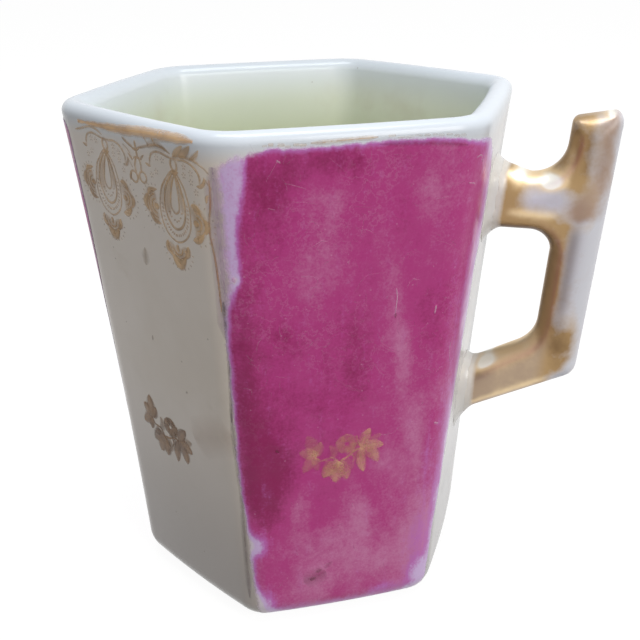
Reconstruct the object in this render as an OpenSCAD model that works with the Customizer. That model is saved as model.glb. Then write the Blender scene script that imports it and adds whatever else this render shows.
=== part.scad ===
// Six-sided porcelain moustache cup: a slip-cast body, a gilded handle and a drinking guard inside the lip.
// Z is up, the origin is on the cup's axis at table level, and the handle points along +X.

/* [Cup] */
// Height from the table to the top of the lip
cup_height = 95; // [85:1:110]
// Width across opposite panels at the lip
rim_flats = 76; // [70:1:86]
// Width across opposite panels, carried down to table level
base_flats = 60; // [54:1:66]
// Rounding of the upright corners at the lip
rim_corner = 10; // [8:0.5:13]
// Rounding of the upright corners at table level
base_corner = 6; // [5.8:0.2:8]
// How far each wall hollows in at mid-height, which flares the lip
wall_flare = 0.6; // [0:0.1:1.2]
// How far the middle of each panel bulges past its sides
panel_bow = 0.6; // [0:0.1:1.2]
// Thickness of the wall and of the rounded lip
wall = 4.2; // [3.4:0.1:5]

/* [Foot] */
// Rounding of the bottom edge
foot_round = 4.8; // [3:0.2:6]
// Radius of the round recess under the foot
recess_radius = 19; // [14:0.5:21]
// Depth of the recess
recess_depth = 1.6; // [0.8:0.1:2.4]
// Floor left above the recess
floor_thick = 4; // [3:0.2:6]
// Rounding between the floor and the inside of the wall
floor_round = 7; // [4:0.5:9]

/* [Handle] */
// Clear space between the wall and the upright
finger_gap = 12; // [10:0.5:18]
// Thickness of the handle, side to side
handle_thick = 9; // [7:0.5:11]
// Width of the upright and the spur, seen from the side
upright_width = 8.4; // [6.5:0.1:10]
// Width of the upper arm
upper_arm_width = 9.6; // [7:0.2:11]
// Width of the lower arm
lower_arm_width = 9.2; // [7:0.2:11]
// Depth of the upper arm's middle below the lip
upper_arm_drop = 18; // [14:0.5:24]
// How far the upper arm's top climbs to the wall
upper_arm_climb = 1.6; // [0:0.2:2.6]
// Height of the lower arm's middle where it meets the wall
lower_arm_z = 39.5; // [34:1:46]
// Slope of the lower arm, in degrees
lower_arm_slope = 27; // [15:1:35]
// Height of the spur above the middle of the upper arm
spur_rise = 17.2; // [12:0.2:18]
// Slope of the spur's top, in degrees
spur_slope = 16; // [0:1:20]
// Rounding of the spur's top edges
spur_round = 1.3; // [0.6:0.1:2]
// Rounding of the finger hole at the lower elbow
lower_elbow_round = 6.5; // [3:0.5:8]
// Rounding outside the lower elbow
outer_elbow_round = 3; // [1.5:0.5:6]
// Rounding of the finger hole under the upper arm
hole_round = 4; // [2:0.5:6]
// Rounding between the upper arm and the spur
saddle_round = 6.5; // [3:0.5:7]
// Thickness of the slip collar between an arm and the wall
lute_thick = 1.4; // [0.8:0.1:2.5]
// How far the slip collar spreads over the wall
lute_spread = 1.8; // [0.8:0.1:3]

/* [Guard] */
// Depth of the guard's top below the lip
guard_drop = 8; // [6:0.5:14]
// Thickness of the guard
guard_thick = 3.2; // [2.4:0.2:4.4]
// Distance from the cup's axis to the guard's back edge
guard_back = 12; // [6:0.5:13]
// Half the length of the sip opening along the wall
sip_half_length = 14; // [10:0.5:16]
// How far the sip opening cuts into the guard
sip_depth = 9.5; // [7:0.5:11]
// Rounding drawn along the guard's free edges
guard_edge = 1.2; // [0.6:0.1:1.6]
// Size of the slip bead along the guard's seats
bead = 1.4; // [0.8:0.1:2]

/* [Lustre] */
// Thickness of the fired lustre coat
coat = 0.15; // [0.1:0.05:0.3]
// Bare wall between the rounding of the lip and each coat
coat_top_gap = 0.5; // [0.3:0.1:6]
// How far each coat wraps round the bottom edge, in degrees
coat_wrap = 45; // [0:15:60]

/* [Hidden] */
ivory = [0.93, 0.91, 0.86];
slip = [0.88, 0.86, 0.8];
magenta = [0.58, 0.16, 0.38];
gilt = [0.74, 0.56, 0.26];

// Points across a panel, inside a corner, round a handle section and up a wall
panel_points = 5;
corner_points = 7;
bar_points = 28;
wall_steps = 8;
arc_steps = 6;
sector_points = panel_points + corner_points;
side_angle = 60;
// Film left between two luted faces, and the sharpest corner inside the cup
lute_film = 0.05;
least_corner = 1.5;
// Thickness of the slices that the handle is drawn over, and the squareness of its section
slice = 0.05;
bar_squareness = 2.8;
// How much thinner the upper arm's buried end is than the upright around it
bury_draw = 1;

guard_top = cup_height - guard_drop;
guard_bottom = guard_top - guard_thick;
floor_z = recess_depth + floor_thick;

function lerp(a, b, t) = a + (b - a) * t;
function steps(n) = [for (i = [0 : n]) i / n];
function turn(p, a) = [p.x * cos(a) - p.y * sin(a), p.x * sin(a) + p.y * cos(a)];
function on_arc(centre, r, a) = centre + r * [cos(a), sin(a)];

// Outside of the cup at a height: distance to the middle of a panel, and rounding of its corners
function apothem(z) =
    let (t = z / cup_height) lerp(base_flats, rim_flats, t) / 2 - 4 * wall_flare * t * (1 - t);
function corner_at(z) = lerp(base_corner, rim_corner, z / cup_height);
// Outside of the handle's panel at a place across it
function wall_x(y, z) = apothem(z) - panel_bow * pow(y / (apothem(z) * tan(side_angle / 2)), 2);

// One section of the cup at a height, set in from the outside: bowed panels joined by arcs
function section(z, inset) =
    let (
        mid = apothem(z) - inset,
        r = max(corner_at(z) - inset, least_corner),
        half = mid * tan(side_angle / 2),
        flat = (mid - r) * tan(side_angle / 2),
        lean = atan(2 * panel_bow * flat / (half * half)),
        end = r * sin(lean) + (mid - panel_bow * pow(flat / half, 2) - r * cos(lean)) * tan(side_angle / 2),
        centre = [mid - panel_bow * pow(end / half, 2) - r * cos(lean), end - r * sin(lean)]
    )
    [for (k = [0 : 5]) each concat(
        [for (t = steps(panel_points - 1)) let (s = lerp(-end, end, t))
            turn([mid - panel_bow * pow(s / half, 2), s], side_angle * k)],
        [for (j = [1 : corner_points]) let (a = lerp(lean, side_angle - lean, j / (corner_points + 1)))
            turn(on_arc(centre, r, a), side_angle * k)])];

function lift(points, z) = [for (p = points) [p.x, p.y, z]];
function ring(z, inset) = lift(section(z, inset), z);

// Closed skin over rings with the same number of points, which run anticlockwise seen from the last ring
module skin(rings) {
    n = len(rings[0]);
    last = len(rings) - 1;
    sides = [for (i = [0 : last - 1], j = [0 : n - 1]) let (a = i * n + j, b = i * n + (j + 1) % n)
        each [[a, a + n, b], [b, a + n, b + n]]];
    caps = [for (j = [1 : n - 2]) each [[0, j, j + 1], [last * n, last * n + j + 1, last * n + j]]];
    polyhedron(points = [for (r = rings) each r], faces = concat(sides, caps));
}

// Closed plate between a front grid and a back grid of points; seen from the front, each row runs to the
// right and the rows stack upward
module plate(front, back) {
    cols = len(front[0]);
    rows = len(front);
    behind = rows * cols;
    around = concat(
        [for (j = [0 : cols - 2]) j],
        [for (i = [0 : rows - 2]) i * cols + cols - 1],
        [for (j = [cols - 1 : -1 : 1]) (rows - 1) * cols + j],
        [for (i = [rows - 1 : -1 : 1]) i * cols]);
    faces = [for (i = [0 : rows - 2], j = [0 : cols - 2]) let (a = i * cols + j, b = a + cols)
        each [[a, b, a + 1], [a + 1, b, b + 1],
            [behind + a, behind + a + 1, behind + b], [behind + a + 1, behind + b + 1, behind + b]]];
    edges = [for (i = [0 : len(around) - 1]) let (a = around[i], b = around[(i + 1) % len(around)])
        each [[a, b, behind + a], [b, behind + b, behind + a]]];
    points = concat([for (r = front) each r], [for (r = back) each r]);
    polyhedron(points = points, faces = concat(faces, edges));
}

// Height and inset of a ring on the bottom rounding, at an angle from straight down and a distance outside it
function foot_place(a, out) = let (r = foot_round + out) [foot_round - r * cos(a), foot_round - r * sin(a)];
// Rings of the shell from the foot up the outside, over the lip and down the inside to the floor
function shell_rings() = concat(
    [for (t = steps(arc_steps)) let (p = foot_place(90 * t, 0)) ring(p.x, p.y)],
    [for (i = [1 : wall_steps]) ring(lerp(foot_round, cup_height - wall / 2, i / wall_steps), 0)],
    [for (i = [1 : 2 * arc_steps - 1]) let (a = 90 * i / arc_steps)
        ring(cup_height - wall / 2 * (1 - sin(a)), wall / 2 * (1 - cos(a)))],
    [for (t = steps(wall_steps)) ring(lerp(cup_height - wall / 2, floor_z + floor_round, t), wall)],
    [for (i = [1 : arc_steps]) let (a = 90 * i / arc_steps)
        ring(floor_z + floor_round * (1 - sin(a)), wall + floor_round * (1 - cos(a)))]);

module cup_body() {
    color(ivory) difference() {
        skin(shell_rings());
        translate([0, 0, -recess_depth]) cylinder(r = recess_radius, h = 2 * recess_depth, $fn = 96);
    }
}

// The guard's front edge on the right half: the sip opening, then the seat along the wall
seat_inset = wall + lute_film;
function sip_end(z) =
    let (
        mid = apothem(z) - seat_inset,
        half = mid * tan(side_angle / 2),
        guess = (sip_half_length - mid * cos(side_angle)) / sin(side_angle),
        off = mid - panel_bow * pow(guess / half, 2),
        s = (sip_half_length - off * cos(side_angle)) / sin(side_angle)
    )
    turn([off, s], -side_angle);
function sip_points(z) =
    let (end = sip_end(z))
    [for (t = steps(arc_steps)) [end.x * sin(90 * t), end.y + sip_depth * cos(90 * t)]];
function seat_points(z, inset) =
    let (all = section(z, inset), first = 5 * sector_points + floor(panel_points / 2))
    [for (i = [first : len(all)]) all[i % len(all)]];
function front_half(z) = concat(sip_points(z), seat_points(z, seat_inset));
// Both halves from left to right, and where the edge is free of the wall
function front_edge(z) =
    let (half = front_half(z), n = len(half) - 1)
    concat([for (i = [n : -1 : 1]) [-half[i].x, half[i].y]], half);
function is_free(i, count) = abs(i - (count - 1) / 2) < arc_steps;

// Rows of the guard from the front edge to the back edge, at its top (way 1) or its underside (way -1)
function guard_rows(z, way) =
    let (front = front_edge(z), n = len(front))
    [for (row = [0 : 4]) [for (i = [0 : n - 1])
        let (
            f = front[i],
            depth = -guard_back - f.y,
            edge = min(guard_edge, depth / 4),
            y = f.y + [0, edge, depth / 2, depth - edge, depth][row],
            eased = row == 4 || (row == 0 && is_free(i, n))
        )
        [f.x, y, z - (eased ? way * guard_edge : 0)]]];

module moustache_guard() {
    color(ivory) plate(guard_rows(guard_top, 1), guard_rows(guard_bottom, -1));
}

// One slip bead in the corner between the wall and the guard's face at a height, above it (1) or below (-1)
module seat_bead(z, way) {
    foot = z + way * lute_film;
    corner = lift(seat_points(foot, seat_inset), foot);
    wall_side = lift(seat_points(foot + way * bead, seat_inset), foot + way * bead);
    middle = lift(seat_points(foot + way * bead / 3, seat_inset + bead / 3), foot + way * bead / 3);
    guard_side = lift(seat_points(foot, seat_inset + bead), foot);
    skin([for (i = [0 : len(corner) - 1]) way > 0
        ? [corner[i], guard_side[i], middle[i], wall_side[i]]
        : [corner[i], wall_side[i], middle[i], guard_side[i]]]);
}

module guard_lute() {
    color(slip) for (side = [0, 1]) mirror([side, 0, 0]) {
        seat_bead(guard_top, 1);
        seat_bead(guard_bottom, -1);
    }
}

// The handle lies in the XZ plane, where points are [x, z]; its upright stands parallel to the wall
taper = (rim_flats - base_flats) / 2 / cup_height;
up = [taper, 1] / norm([taper, 1]);
upper_arm_z = cup_height - upper_arm_drop;
function upright_inner(z) = [wall_x(0, upper_arm_z) + finger_gap + (z - upper_arm_z) * taper, z];
function upright_outer(z) = upright_inner(z) + [upright_width, 0];
function root_point(z) = [wall_x(0, z) + lute_thick, z];
function unit(v) = v / norm(v);

// Where a line through a point along a slope meets the upright's inner line moved out by a distance
function meet_upright(p, along, out) =
    p + along * (upright_inner(p.y).x + out - p.x) / (along.x - along.y * taper);
// Points of a fillet at a corner between the directions u and v, from the u side to the v side
function fillet(p, u, v, r) =
    let (
        half = acos(u * v) / 2,
        centre = p + unit(u + v) * r / sin(half),
        from = p + u * r / tan(half) - centre,
        to = p + v * r / tan(half) - centre,
        start = atan2(from.y, from.x),
        sweep = asin((from.x * to.y - from.y * to.x) / (r * r))
    )
    [for (t = steps(arc_steps)) on_arc(centre, r, start + sweep * t)];

// Stations are [left rail, right rail, thickness], looking along the bar
arm_along = [cos(lower_arm_slope), sin(lower_arm_slope)];
arm_normal = [-arm_along.y, arm_along.x];
arm_start = root_point(lower_arm_z);
lower_half = lower_arm_width / 2;
lower_root_half = lower_half / cos(lower_arm_slope);
lower_root = [root_point(lower_arm_z + lower_root_half), root_point(lower_arm_z - lower_root_half),
    handle_thick];
inner_elbow = fillet(meet_upright(arm_start + arm_normal * lower_half, arm_along, 0),
    -arm_along, up, lower_elbow_round);
outer_elbow = fillet(meet_upright(arm_start - arm_normal * lower_half, arm_along, upright_width),
    -arm_along, up, outer_elbow_round);
spur_top = upper_arm_z + spur_rise;
spur_fall = upright_width * tan(spur_slope);
function spur_station(a) =
    let (draw = spur_round * (1 - cos(a)), drop = spur_round * (1 - sin(a)))
    [upright_inner(spur_top - spur_fall - drop) + [draw, 0], upright_outer(spur_top - drop) - [draw, 0],
        handle_thick - 2 * draw];
upright_stations = concat([lower_root],
    [for (i = [0 : arc_steps]) [inner_elbow[i], outer_elbow[i], handle_thick]],
    [for (a = [0 : 30 : 90]) spur_station(a)]);

upper_half = upper_arm_width / 2;
upper_root = [root_point(upper_arm_z + upper_half + upper_arm_climb), root_point(upper_arm_z - upper_half),
    handle_thick];
saddle = fillet(upright_inner(upper_arm_z + upper_half), [-1, 0], up, saddle_round);
hole_top = fillet(upright_inner(upper_arm_z - upper_half), [-1, 0], -up, hole_round);
bury = [upright_width / 2, 0];
upper_stations = concat([upper_root],
    [for (i = [0 : arc_steps]) [saddle[i], hole_top[i], handle_thick]],
    [[saddle[arc_steps] + bury, hole_top[arc_steps] + bury, handle_thick - bury_draw]]);

function power(c) = sign(c) * pow(abs(c), 2 / bar_squareness);
// A rounded-square outline: across the handle in x, along the station in y
function bar_outline(width, thick) =
    [for (i = [0 : bar_points - 1]) let (a = 360 * i / bar_points)
        [thick / 2 * power(cos(a)), width / 2 * power(sin(a))]];

module slab(station) {
    along = unit(station[0] - station[1]);
    mid = (station[0] + station[1]) / 2;
    multmatrix([[0, along.x, along.y, mid.x], [1, 0, 0, 0], [0, along.y, -along.x, mid.y]])
        linear_extrude(slice) polygon(bar_outline(norm(station[0] - station[1]), station[2]));
}

module bar(stations) {
    for (i = [0 : len(stations) - 2])
        hull() {
            slab(stations[i]);
            slab(stations[i + 1]);
        }
}

module handle() {
    color(gilt) {
        bar(upright_stations);
        bar(upper_stations);
    }
}

// Slip collar that spreads from an arm's end over the wall
module collar(station) {
    along = unit(station[0] - station[1]);
    mid = (station[0] + station[1]) / 2;
    width = norm(station[0] - station[1]);
    end = [for (q = bar_outline(width, station[2])) [mid.x + along.x * q.y, q.x, mid.y + along.y * q.y]];
    spread = [for (q = bar_outline(width + 2 * lute_spread, station[2] + 2 * lute_spread))
        let (z = mid.y + q.y) [wall_x(q.x, z) + lute_film, q.x, z]];
    skin([for (t = steps(arc_steps)) [for (i = [0 : bar_points - 1])
        let (flat = lerp(end[i], spread[i], pow(1 - t, 2)))
        [lerp(spread[i].x, end[i].x, t), flat.y, flat.z]]]);
}

module handle_upper_lute() {
    color(slip) collar(upper_root);
}

module handle_lower_lute() {
    color(slip) collar(lower_root);
}

// Lustre coat on panel k, wrapping both its corners almost to their crests and on to the bottom rounding
module lustre_coat(k) {
    reach = floor(corner_points / 2);
    first = (6 + k) * sector_points - reach;
    function across(place) =
        let (all = ring(place.x, place.y))
        [for (i = [first : first + panel_points + 2 * reach - 1]) all[i % len(all)]];
    top = cup_height - wall / 2 - coat_top_gap;
    function rows(out) = concat(
        [for (a = [90 - coat_wrap : 90 / arc_steps : 90]) across(foot_place(a, out))],
        [for (i = [1 : wall_steps]) across([lerp(foot_round, top, i / wall_steps), -out])]);
    color(magenta) plate(rows(coat), rows(0));
}

module lustre_panel_front() {
    lustre_coat(5);
}

module lustre_panel_back() {
    lustre_coat(1);
}

module lustre_panel_left() {
    lustre_coat(3);
}

cup_body();
moustache_guard();
guard_lute();
handle();
handle_upper_lute();
handle_lower_lute();
lustre_panel_front();
lustre_panel_back();
lustre_panel_left();
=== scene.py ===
import bpy
import numpy as np
from mathutils import Matrix


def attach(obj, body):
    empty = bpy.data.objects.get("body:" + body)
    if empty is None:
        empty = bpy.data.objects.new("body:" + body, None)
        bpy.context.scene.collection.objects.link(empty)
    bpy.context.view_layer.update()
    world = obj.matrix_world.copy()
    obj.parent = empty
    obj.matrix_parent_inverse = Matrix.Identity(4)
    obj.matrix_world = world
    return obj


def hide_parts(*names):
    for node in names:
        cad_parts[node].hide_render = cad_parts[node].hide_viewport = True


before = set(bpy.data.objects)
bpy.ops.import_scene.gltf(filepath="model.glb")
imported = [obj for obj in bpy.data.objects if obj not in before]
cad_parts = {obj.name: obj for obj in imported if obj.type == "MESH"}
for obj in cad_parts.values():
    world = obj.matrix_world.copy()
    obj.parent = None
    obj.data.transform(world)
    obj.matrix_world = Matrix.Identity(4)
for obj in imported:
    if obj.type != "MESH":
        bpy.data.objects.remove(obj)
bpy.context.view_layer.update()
mm = 0.001
print("frame:", len(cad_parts), "solids loaded")

# Puts points (mm) and quads or triangles into a mesh; uv is one pair for each face corner, paint is named values
# for each point.
def faceMesh(name, points, quads, tris=None, uvQuads=None, uvTris=None, paint=None):
    quads = np.asarray(quads, np.int32).reshape(-1, 4)
    tris = np.zeros((0, 3), np.int32) if tris is None else np.asarray(tris, np.int32).reshape(-1, 3)
    mesh = bpy.data.meshes.new(name)
    mesh.vertices.add(len(points))
    mesh.vertices.foreach_set("co", (np.asarray(points) * mm).astype(np.float32).ravel())
    corners = np.concatenate([quads.ravel(), tris.ravel()])
    mesh.loops.add(len(corners))
    mesh.loops.foreach_set("vertex_index", corners)
    starts = np.concatenate([np.arange(len(quads)) * 4, quads.size + np.arange(len(tris)) * 3])
    mesh.polygons.add(len(starts))
    mesh.polygons.foreach_set("loop_start", starts.astype(np.int32))
    mesh.polygons.foreach_set("use_smooth", np.ones(len(starts), bool))
    if uvQuads is not None:
        layer = mesh.uv_layers.new(name="panelMap")
        uv = np.asarray(uvQuads).reshape(-1, 2)
        if len(tris):
            uv = np.concatenate([uv, np.asarray(uvTris).reshape(-1, 2)])
        layer.data.foreach_set("uv", uv.astype(np.float32).ravel())
    for key, values in (paint or {}).items():
        attribute = mesh.attributes.new(key, "FLOAT", "POINT")
        attribute.data.foreach_set("value", np.asarray(values, np.float32).ravel())
    mesh.update(calc_edges=True)
    mesh.validate()
    return mesh


# Quads over rows x columns of points, columns wrapping round if asked. With columns to the right and rows going up
# the quads face the reader. A capped end gets one middle point and a fan.
def gridMesh(name, grid, wrap=False, capFirst=None, capLast=None, uv=None, paint=None):
    rows, cols = grid.shape[:2]
    points = grid.reshape(-1, 3)
    paint = {key: np.broadcast_to(values, (rows, cols)).reshape(-1) for key, values in (paint or {}).items()}
    r, c = np.meshgrid(np.arange(rows - 1), np.arange(cols if wrap else cols - 1), indexing="ij")
    n = (c + 1) % cols
    quads = np.stack([r * cols + c, r * cols + n, (r + 1) * cols + n, (r + 1) * cols + c], -1)
    uvQuads = None
    if uv is not None:
        uvQuads = np.stack([uv[r, c], uv[r, c + 1], uv[r + 1, c + 1], uv[r + 1, c]], 2)
    tris, uvTris = [], []
    ring = np.arange(cols)
    after = (ring + 1) % cols
    for middle, first in ((capFirst, True), (capLast, False)):
        if middle is None:
            continue
        base = 0 if first else (rows - 1) * cols
        hub = np.full(cols, len(points))
        points = np.concatenate([points, np.asarray(middle, float).reshape(1, 3)])
        order = (hub, base + after, base + ring) if first else (base + ring, base + after, hub)
        tris.append(np.stack(order, -1))
        row = 0 if first else rows - 1
        paint = {key: np.append(values, values[base]) for key, values in paint.items()}
        if uv is not None:
            hubUv = np.stack([(uv[row, :-1, 0] + uv[row, 1:, 0]) / 2, uv[row, 1:, 1]], -1)
            pair = (hubUv, uv[row, 1:], uv[row, :-1]) if first else (uv[row, :-1], uv[row, 1:], hubUv)
            uvTris.append(np.stack(pair, 1))
    tris = np.concatenate(tris) if tris else None
    uvTris = np.concatenate(uvTris) if uvTris else None
    return faceMesh(name, points, quads, tris, uvQuads, uvTris, paint)


# Quads round a tube of rows of ring points, and for an open one the two fans that close its ends
def tubeFaces(rows, ring, closed=False):
    r, c = np.meshgrid(np.arange(rows if closed else rows - 1), np.arange(ring), indexing="ij")
    n, d = (r + 1) % rows, (c + 1) % ring
    quads = np.stack([r * ring + c, r * ring + d, n * ring + d, n * ring + c], -1).reshape(-1, 4)
    fan = np.arange(1, ring - 1)
    near = np.stack([0 * fan, fan + 1, fan], -1)
    far = (rows - 1) * ring + np.stack([0 * fan, fan, fan + 1], -1)
    return quads, near[:0] if closed else np.concatenate([near, far])


# 0 at lo to 1 at hi, level at both ends
def smooth(x, lo, hi):
    f = np.clip((x - lo) / (hi - lo), 0, 1)
    return f * f * (3 - 2 * f)


# Adds a node, sets its properties and gives each input a plain value or a link. An input is called by its name, with
# _ for a space, or by i and its number.
def addNode(tree, kind, props=None, **inputs):
    made = tree.nodes.new(kind)
    for key, value in (props or {}).items():
        setattr(made, key, value)
    for key, value in inputs.items():
        numbered = key[0] == "i" and key[1:].isdigit()
        socket = made.inputs[int(key[1:]) if numbered else key.replace("_", " ")]
        if isinstance(value, bpy.types.NodeSocket):
            tree.links.new(value, socket)
        else:
            socket.default_value = value
    return made


# One step of arithmetic in a shader
def calc(tree, operation, a, b=0.0, c=0.0, clamp=False):
    return addNode(tree, "ShaderNodeMath", {"operation": operation, "use_clamp": clamp}, i0=a, i1=b, i2=c).outputs[0]


# The same soft step as smooth in a shader, between two values of its own
def spread(tree, value, lo, hi, toLo=0.0, toHi=1.0):
    return addNode(tree, "ShaderNodeMapRange", {"interpolation_type": "SMOOTHSTEP"}, Value=value,
                   From_Min=lo, From_Max=hi, To_Min=toLo, To_Max=toHi).outputs[0]


# A share of the way from colour a to colour b
def blendColour(tree, share, a, b):
    return addNode(tree, "ShaderNodeMix", {"data_type": "RGBA"}, i0=share, i6=a, i7=b).outputs[2]


# From colour a to colour b as a value goes from lo to hi
def fadeTo(tree, value, lo, hi, a, b):
    return blendColour(tree, spread(tree, value, lo, hi), a, b)


# A noise on the object's own coordinates, stretched or shifted if asked
def noise(tree, where, scale, detail=3.0, rough=0.5, stretch=None, shift=(0, 0, 0)):
    if stretch is not None or shift != (0, 0, 0):
        mapped = addNode(tree, "ShaderNodeMapping", Vector=where, Scale=stretch or (1, 1, 1), Location=shift)
        where = mapped.outputs[0]
    cloud = addNode(tree, "ShaderNodeTexNoise", Vector=where, Scale=scale, Detail=detail, Roughness=rough)
    return cloud.outputs[0]


# A noise about its middle, times a share
def swing(tree, value, share):
    return calc(tree, "MULTIPLY", calc(tree, "SUBTRACT", value, 0.5), share)


# sRGB 0-255 to a linear colour
def srgb(r, g, b):
    v = np.array([r, g, b]) / 255.0
    lin = np.where(v <= 0.04045, v / 12.92, ((v + 0.055) / 1.055) ** 2.4)
    return (float(lin[0]), float(lin[1]), float(lin[2]), 1.0)


# A node group with a place, named values and named results
def newGroup(name, values, results):
    tree = bpy.data.node_groups.new(name, "ShaderNodeTree")
    tree.interface.new_socket("Vector", in_out="INPUT", socket_type="NodeSocketVector")
    for key, value in values.items():
        tree.interface.new_socket(key, in_out="INPUT", socket_type="NodeSocketFloat").default_value = value
    for key in results:
        tree.interface.new_socket(key, in_out="OUTPUT", socket_type="NodeSocketFloat")
    return tree, tree.nodes.new("NodeGroupInput").outputs, tree.nodes.new("NodeGroupOutput").inputs


# Places a group and gives its outputs
def useGroup(tree, group, **inputs):
    return addNode(tree, "ShaderNodeGroup", {"node_tree": group}, **inputs).outputs


# A material with its shader and the object's own coordinates
def newMaterial(name):
    material = bpy.data.materials.new(name)
    material.use_nodes = True
    tree = material.node_tree
    shader = tree.nodes["Principled BSDF"]
    where = tree.nodes.new("ShaderNodeTexCoord").outputs["Object"]
    return material, tree, shader, where


# A value that was painted on a mesh's points
def attributeOf(tree, name):
    return addNode(tree, "ShaderNodeAttribute", {"attribute_name": name}).outputs["Fac"]


# Soft glaze: slow waves and fine peel for the bump, and smears that change the gloss
glazeSkin, given, made = newGroup("glazeSkin", {"Peel": 0.3}, ("Height", "Smear"))
slowWave = noise(glazeSkin, given["Vector"], 70, 2)
finePeel = noise(glazeSkin, given["Vector"], 900, 2)
glazeSkin.links.new(calc(glazeSkin, "MULTIPLY_ADD", finePeel, given["Peel"], slowWave), made["Height"])
smearNoise = noise(glazeSkin, given["Vector"], 160, 5, 0.65)
glazeSkin.links.new(spread(glazeSkin, smearNoise, 0.35, 0.7), made["Smear"])

# Specks: the cores of scattered cells, only in those cells that their own random colour picks
specks, given, made = newGroup("specks", {"Scale": 700.0, "Size": 0.12, "Amount": 0.4}, ("Mask",))
cells = addNode(specks, "ShaderNodeTexVoronoi", Vector=given["Vector"], Scale=given["Scale"])
core = calc(specks, "LESS_THAN", cells.outputs["Distance"], given["Size"])
cellPick = addNode(specks, "ShaderNodeSeparateColor", Color=cells.outputs["Color"]).outputs[0]
specks.links.new(calc(specks, "MULTIPLY", core, calc(specks, "LESS_THAN", cellPick, given["Amount"])), made["Mask"])

# Gilding that has rubbed thin: how much gold is left, from what the piece keeps and a two-scale noise
giltLeft, given, made = newGroup("giltLeft", {"Keep": 0.8, "Grain": 350.0, "Soft": 0.1}, ("Gold", "Tone"))
coarseRub = noise(giltLeft, given["Vector"], given["Grain"], 4, 0.6)
fineRub = noise(giltLeft, given["Vector"], calc(giltLeft, "MULTIPLY", given["Grain"], 6.0), 2.0)
rubbed = calc(giltLeft, "ADD", calc(giltLeft, "MULTIPLY", coarseRub, 0.7), calc(giltLeft, "MULTIPLY", fineRub, 0.3))
overHalf = calc(giltLeft, "SUBTRACT", calc(giltLeft, "ADD", rubbed, given["Keep"]), 1.0)
giltLeft.links.new(calc(giltLeft, "ADD", calc(giltLeft, "DIVIDE", overHalf, given["Soft"]), 0.5, clamp=True),
                   made["Gold"])
giltLeft.links.new(coarseRub, made["Tone"])
print("effects: 3 node groups")


# A glazed surface: roughness rises from least with the smears, and the waves and peel make the bump. dry is how rough
# an unglazed place is.
def glazeOver(tree, shader, where, peel, smear, least, bump, depth=0.0006, dry=None):
    skin = useGroup(tree, glazeSkin, Vector=where, Peel=peel)
    gloss = calc(tree, "MULTIPLY_ADD", skin["Smear"], smear, least)
    if dry is not None:
        gloss = calc(tree, "MAXIMUM", gloss, dry)
    tree.links.new(gloss, shader.inputs["Roughness"])
    relief = addNode(tree, "ShaderNodeBump", Height=skin["Height"], Strength=bump, Distance=depth)
    tree.links.new(relief.outputs[0], shader.inputs["Normal"])


cup = {  # mm, the sizes of the solids
    "height": 95.0, "rimFlats": 76.0, "baseFlats": 60.0, "rimCorner": 10.0, "baseCorner": 6.0, "flare": 0.6, "bow": 0.6,
    "wall": 4.2, "footRound": 4.8, "recessRadius": 19.0, "recessDepth": 1.6, "recessEdge": 0.5, "floorZ": 5.6,
    "floorRound": 7.0, "leastCorner": 1.5,
    "perSector": 56, "roundRings": 15, "outRings": 62, "lipRings": 24, "inRings": 44,  # how finely it is drawn
    # The low cream, the low grey of the handle's panel, the far white of the lip and the far inside are painted shade
    "cream": srgb(240, 228, 216), "agedCream": srgb(230, 217, 202), "shadedLowCream": srgb(184, 174, 167),
    "handleSide": srgb(222, 220, 221), "shadedHandleLow": srgb(196, 194, 196), "white": srgb(230, 237, 246),
    "shadedLipWhite": srgb(210, 217, 224), "inside": srgb(248, 252, 238), "insideLip": srgb(231, 238, 245),
    "shadedInside": srgb(220, 227, 212), "deepInside": srgb(204, 212, 150), "insideFloor": srgb(224, 226, 206),
    "stain": srgb(176, 150, 112), "bareFoot": srgb(205, 192, 170), "dirt": srgb(120, 96, 70),
}
tan30 = np.tan(np.pi / 6)


# Half the width over the flats at a height: straight from foot to lip, less a shallow hollow
def apothemAt(z):
    f = z / cup["height"]
    return (cup["baseFlats"] + (cup["rimFlats"] - cup["baseFlats"]) * f) / 2 - 4 * cup["flare"] * f * (1 - f)


# A sixth of the cup's section from corner crest (t = -1) to corner crest (t = 1): the panel is a shallow parabola, and
# arcs of the corner radius carry on from its end slope. Returns the distances out of the panel and along it, and the
# length from the panel's middle to a crest.
def cupSector(t, z, inset):
    f = z / cup["height"]
    mid = apothemAt(z) - inset
    r = np.maximum(cup["baseCorner"] + (cup["rimCorner"] - cup["baseCorner"]) * f - inset, cup["leastCorner"])
    half = mid * tan30
    flat = (mid - r) * tan30
    lean = np.arctan(2 * cup["bow"] * flat / half ** 2)
    end = r * np.sin(lean) + (mid - cup["bow"] * (flat / half) ** 2 - r * np.cos(lean)) * tan30
    reach = end + r * (np.pi / 6 - lean)
    along = t * reach
    past = np.maximum(np.abs(along) - end, 0)
    turn = lean + past / r
    centreX = mid - cup["bow"] * (end / half) ** 2 - r * np.cos(lean)
    centreY = end - r * np.sin(lean)
    x = np.where(past > 0, centreX + r * np.cos(turn), mid - cup["bow"] * (along / half) ** 2)
    y = np.where(past > 0, np.sign(along) * (centreY + r * np.sin(turn)), along)
    return x, y, reach


# The sector turned to panel k, at height z. The panels are counted from the handle's own: 0 is plain, 1, 3 and 5 are
# lustre (back, left and front), and 2 and 4 are cream (back and front).
def onCup(k, t, z, inset):
    x, y = cupSector(t, z, inset)[:2]
    a = np.pi / 3 * k
    return np.stack([x * np.cos(a) - y * np.sin(a), x * np.sin(a) + y * np.cos(a), z + 0 * x], -1)


# How far the outside has drawn in at a height, on the bottom rounding and on the lip's half round
def drawnIn(z):
    foot, lip = cup["footRound"], cup["wall"] / 2
    low = np.clip(foot - z, 0, foot)
    high = np.clip(z - (cup["height"] - lip), 0, lip)
    return foot - np.sqrt(foot ** 2 - low ** 2) + lip - np.sqrt(lip ** 2 - high ** 2)


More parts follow.
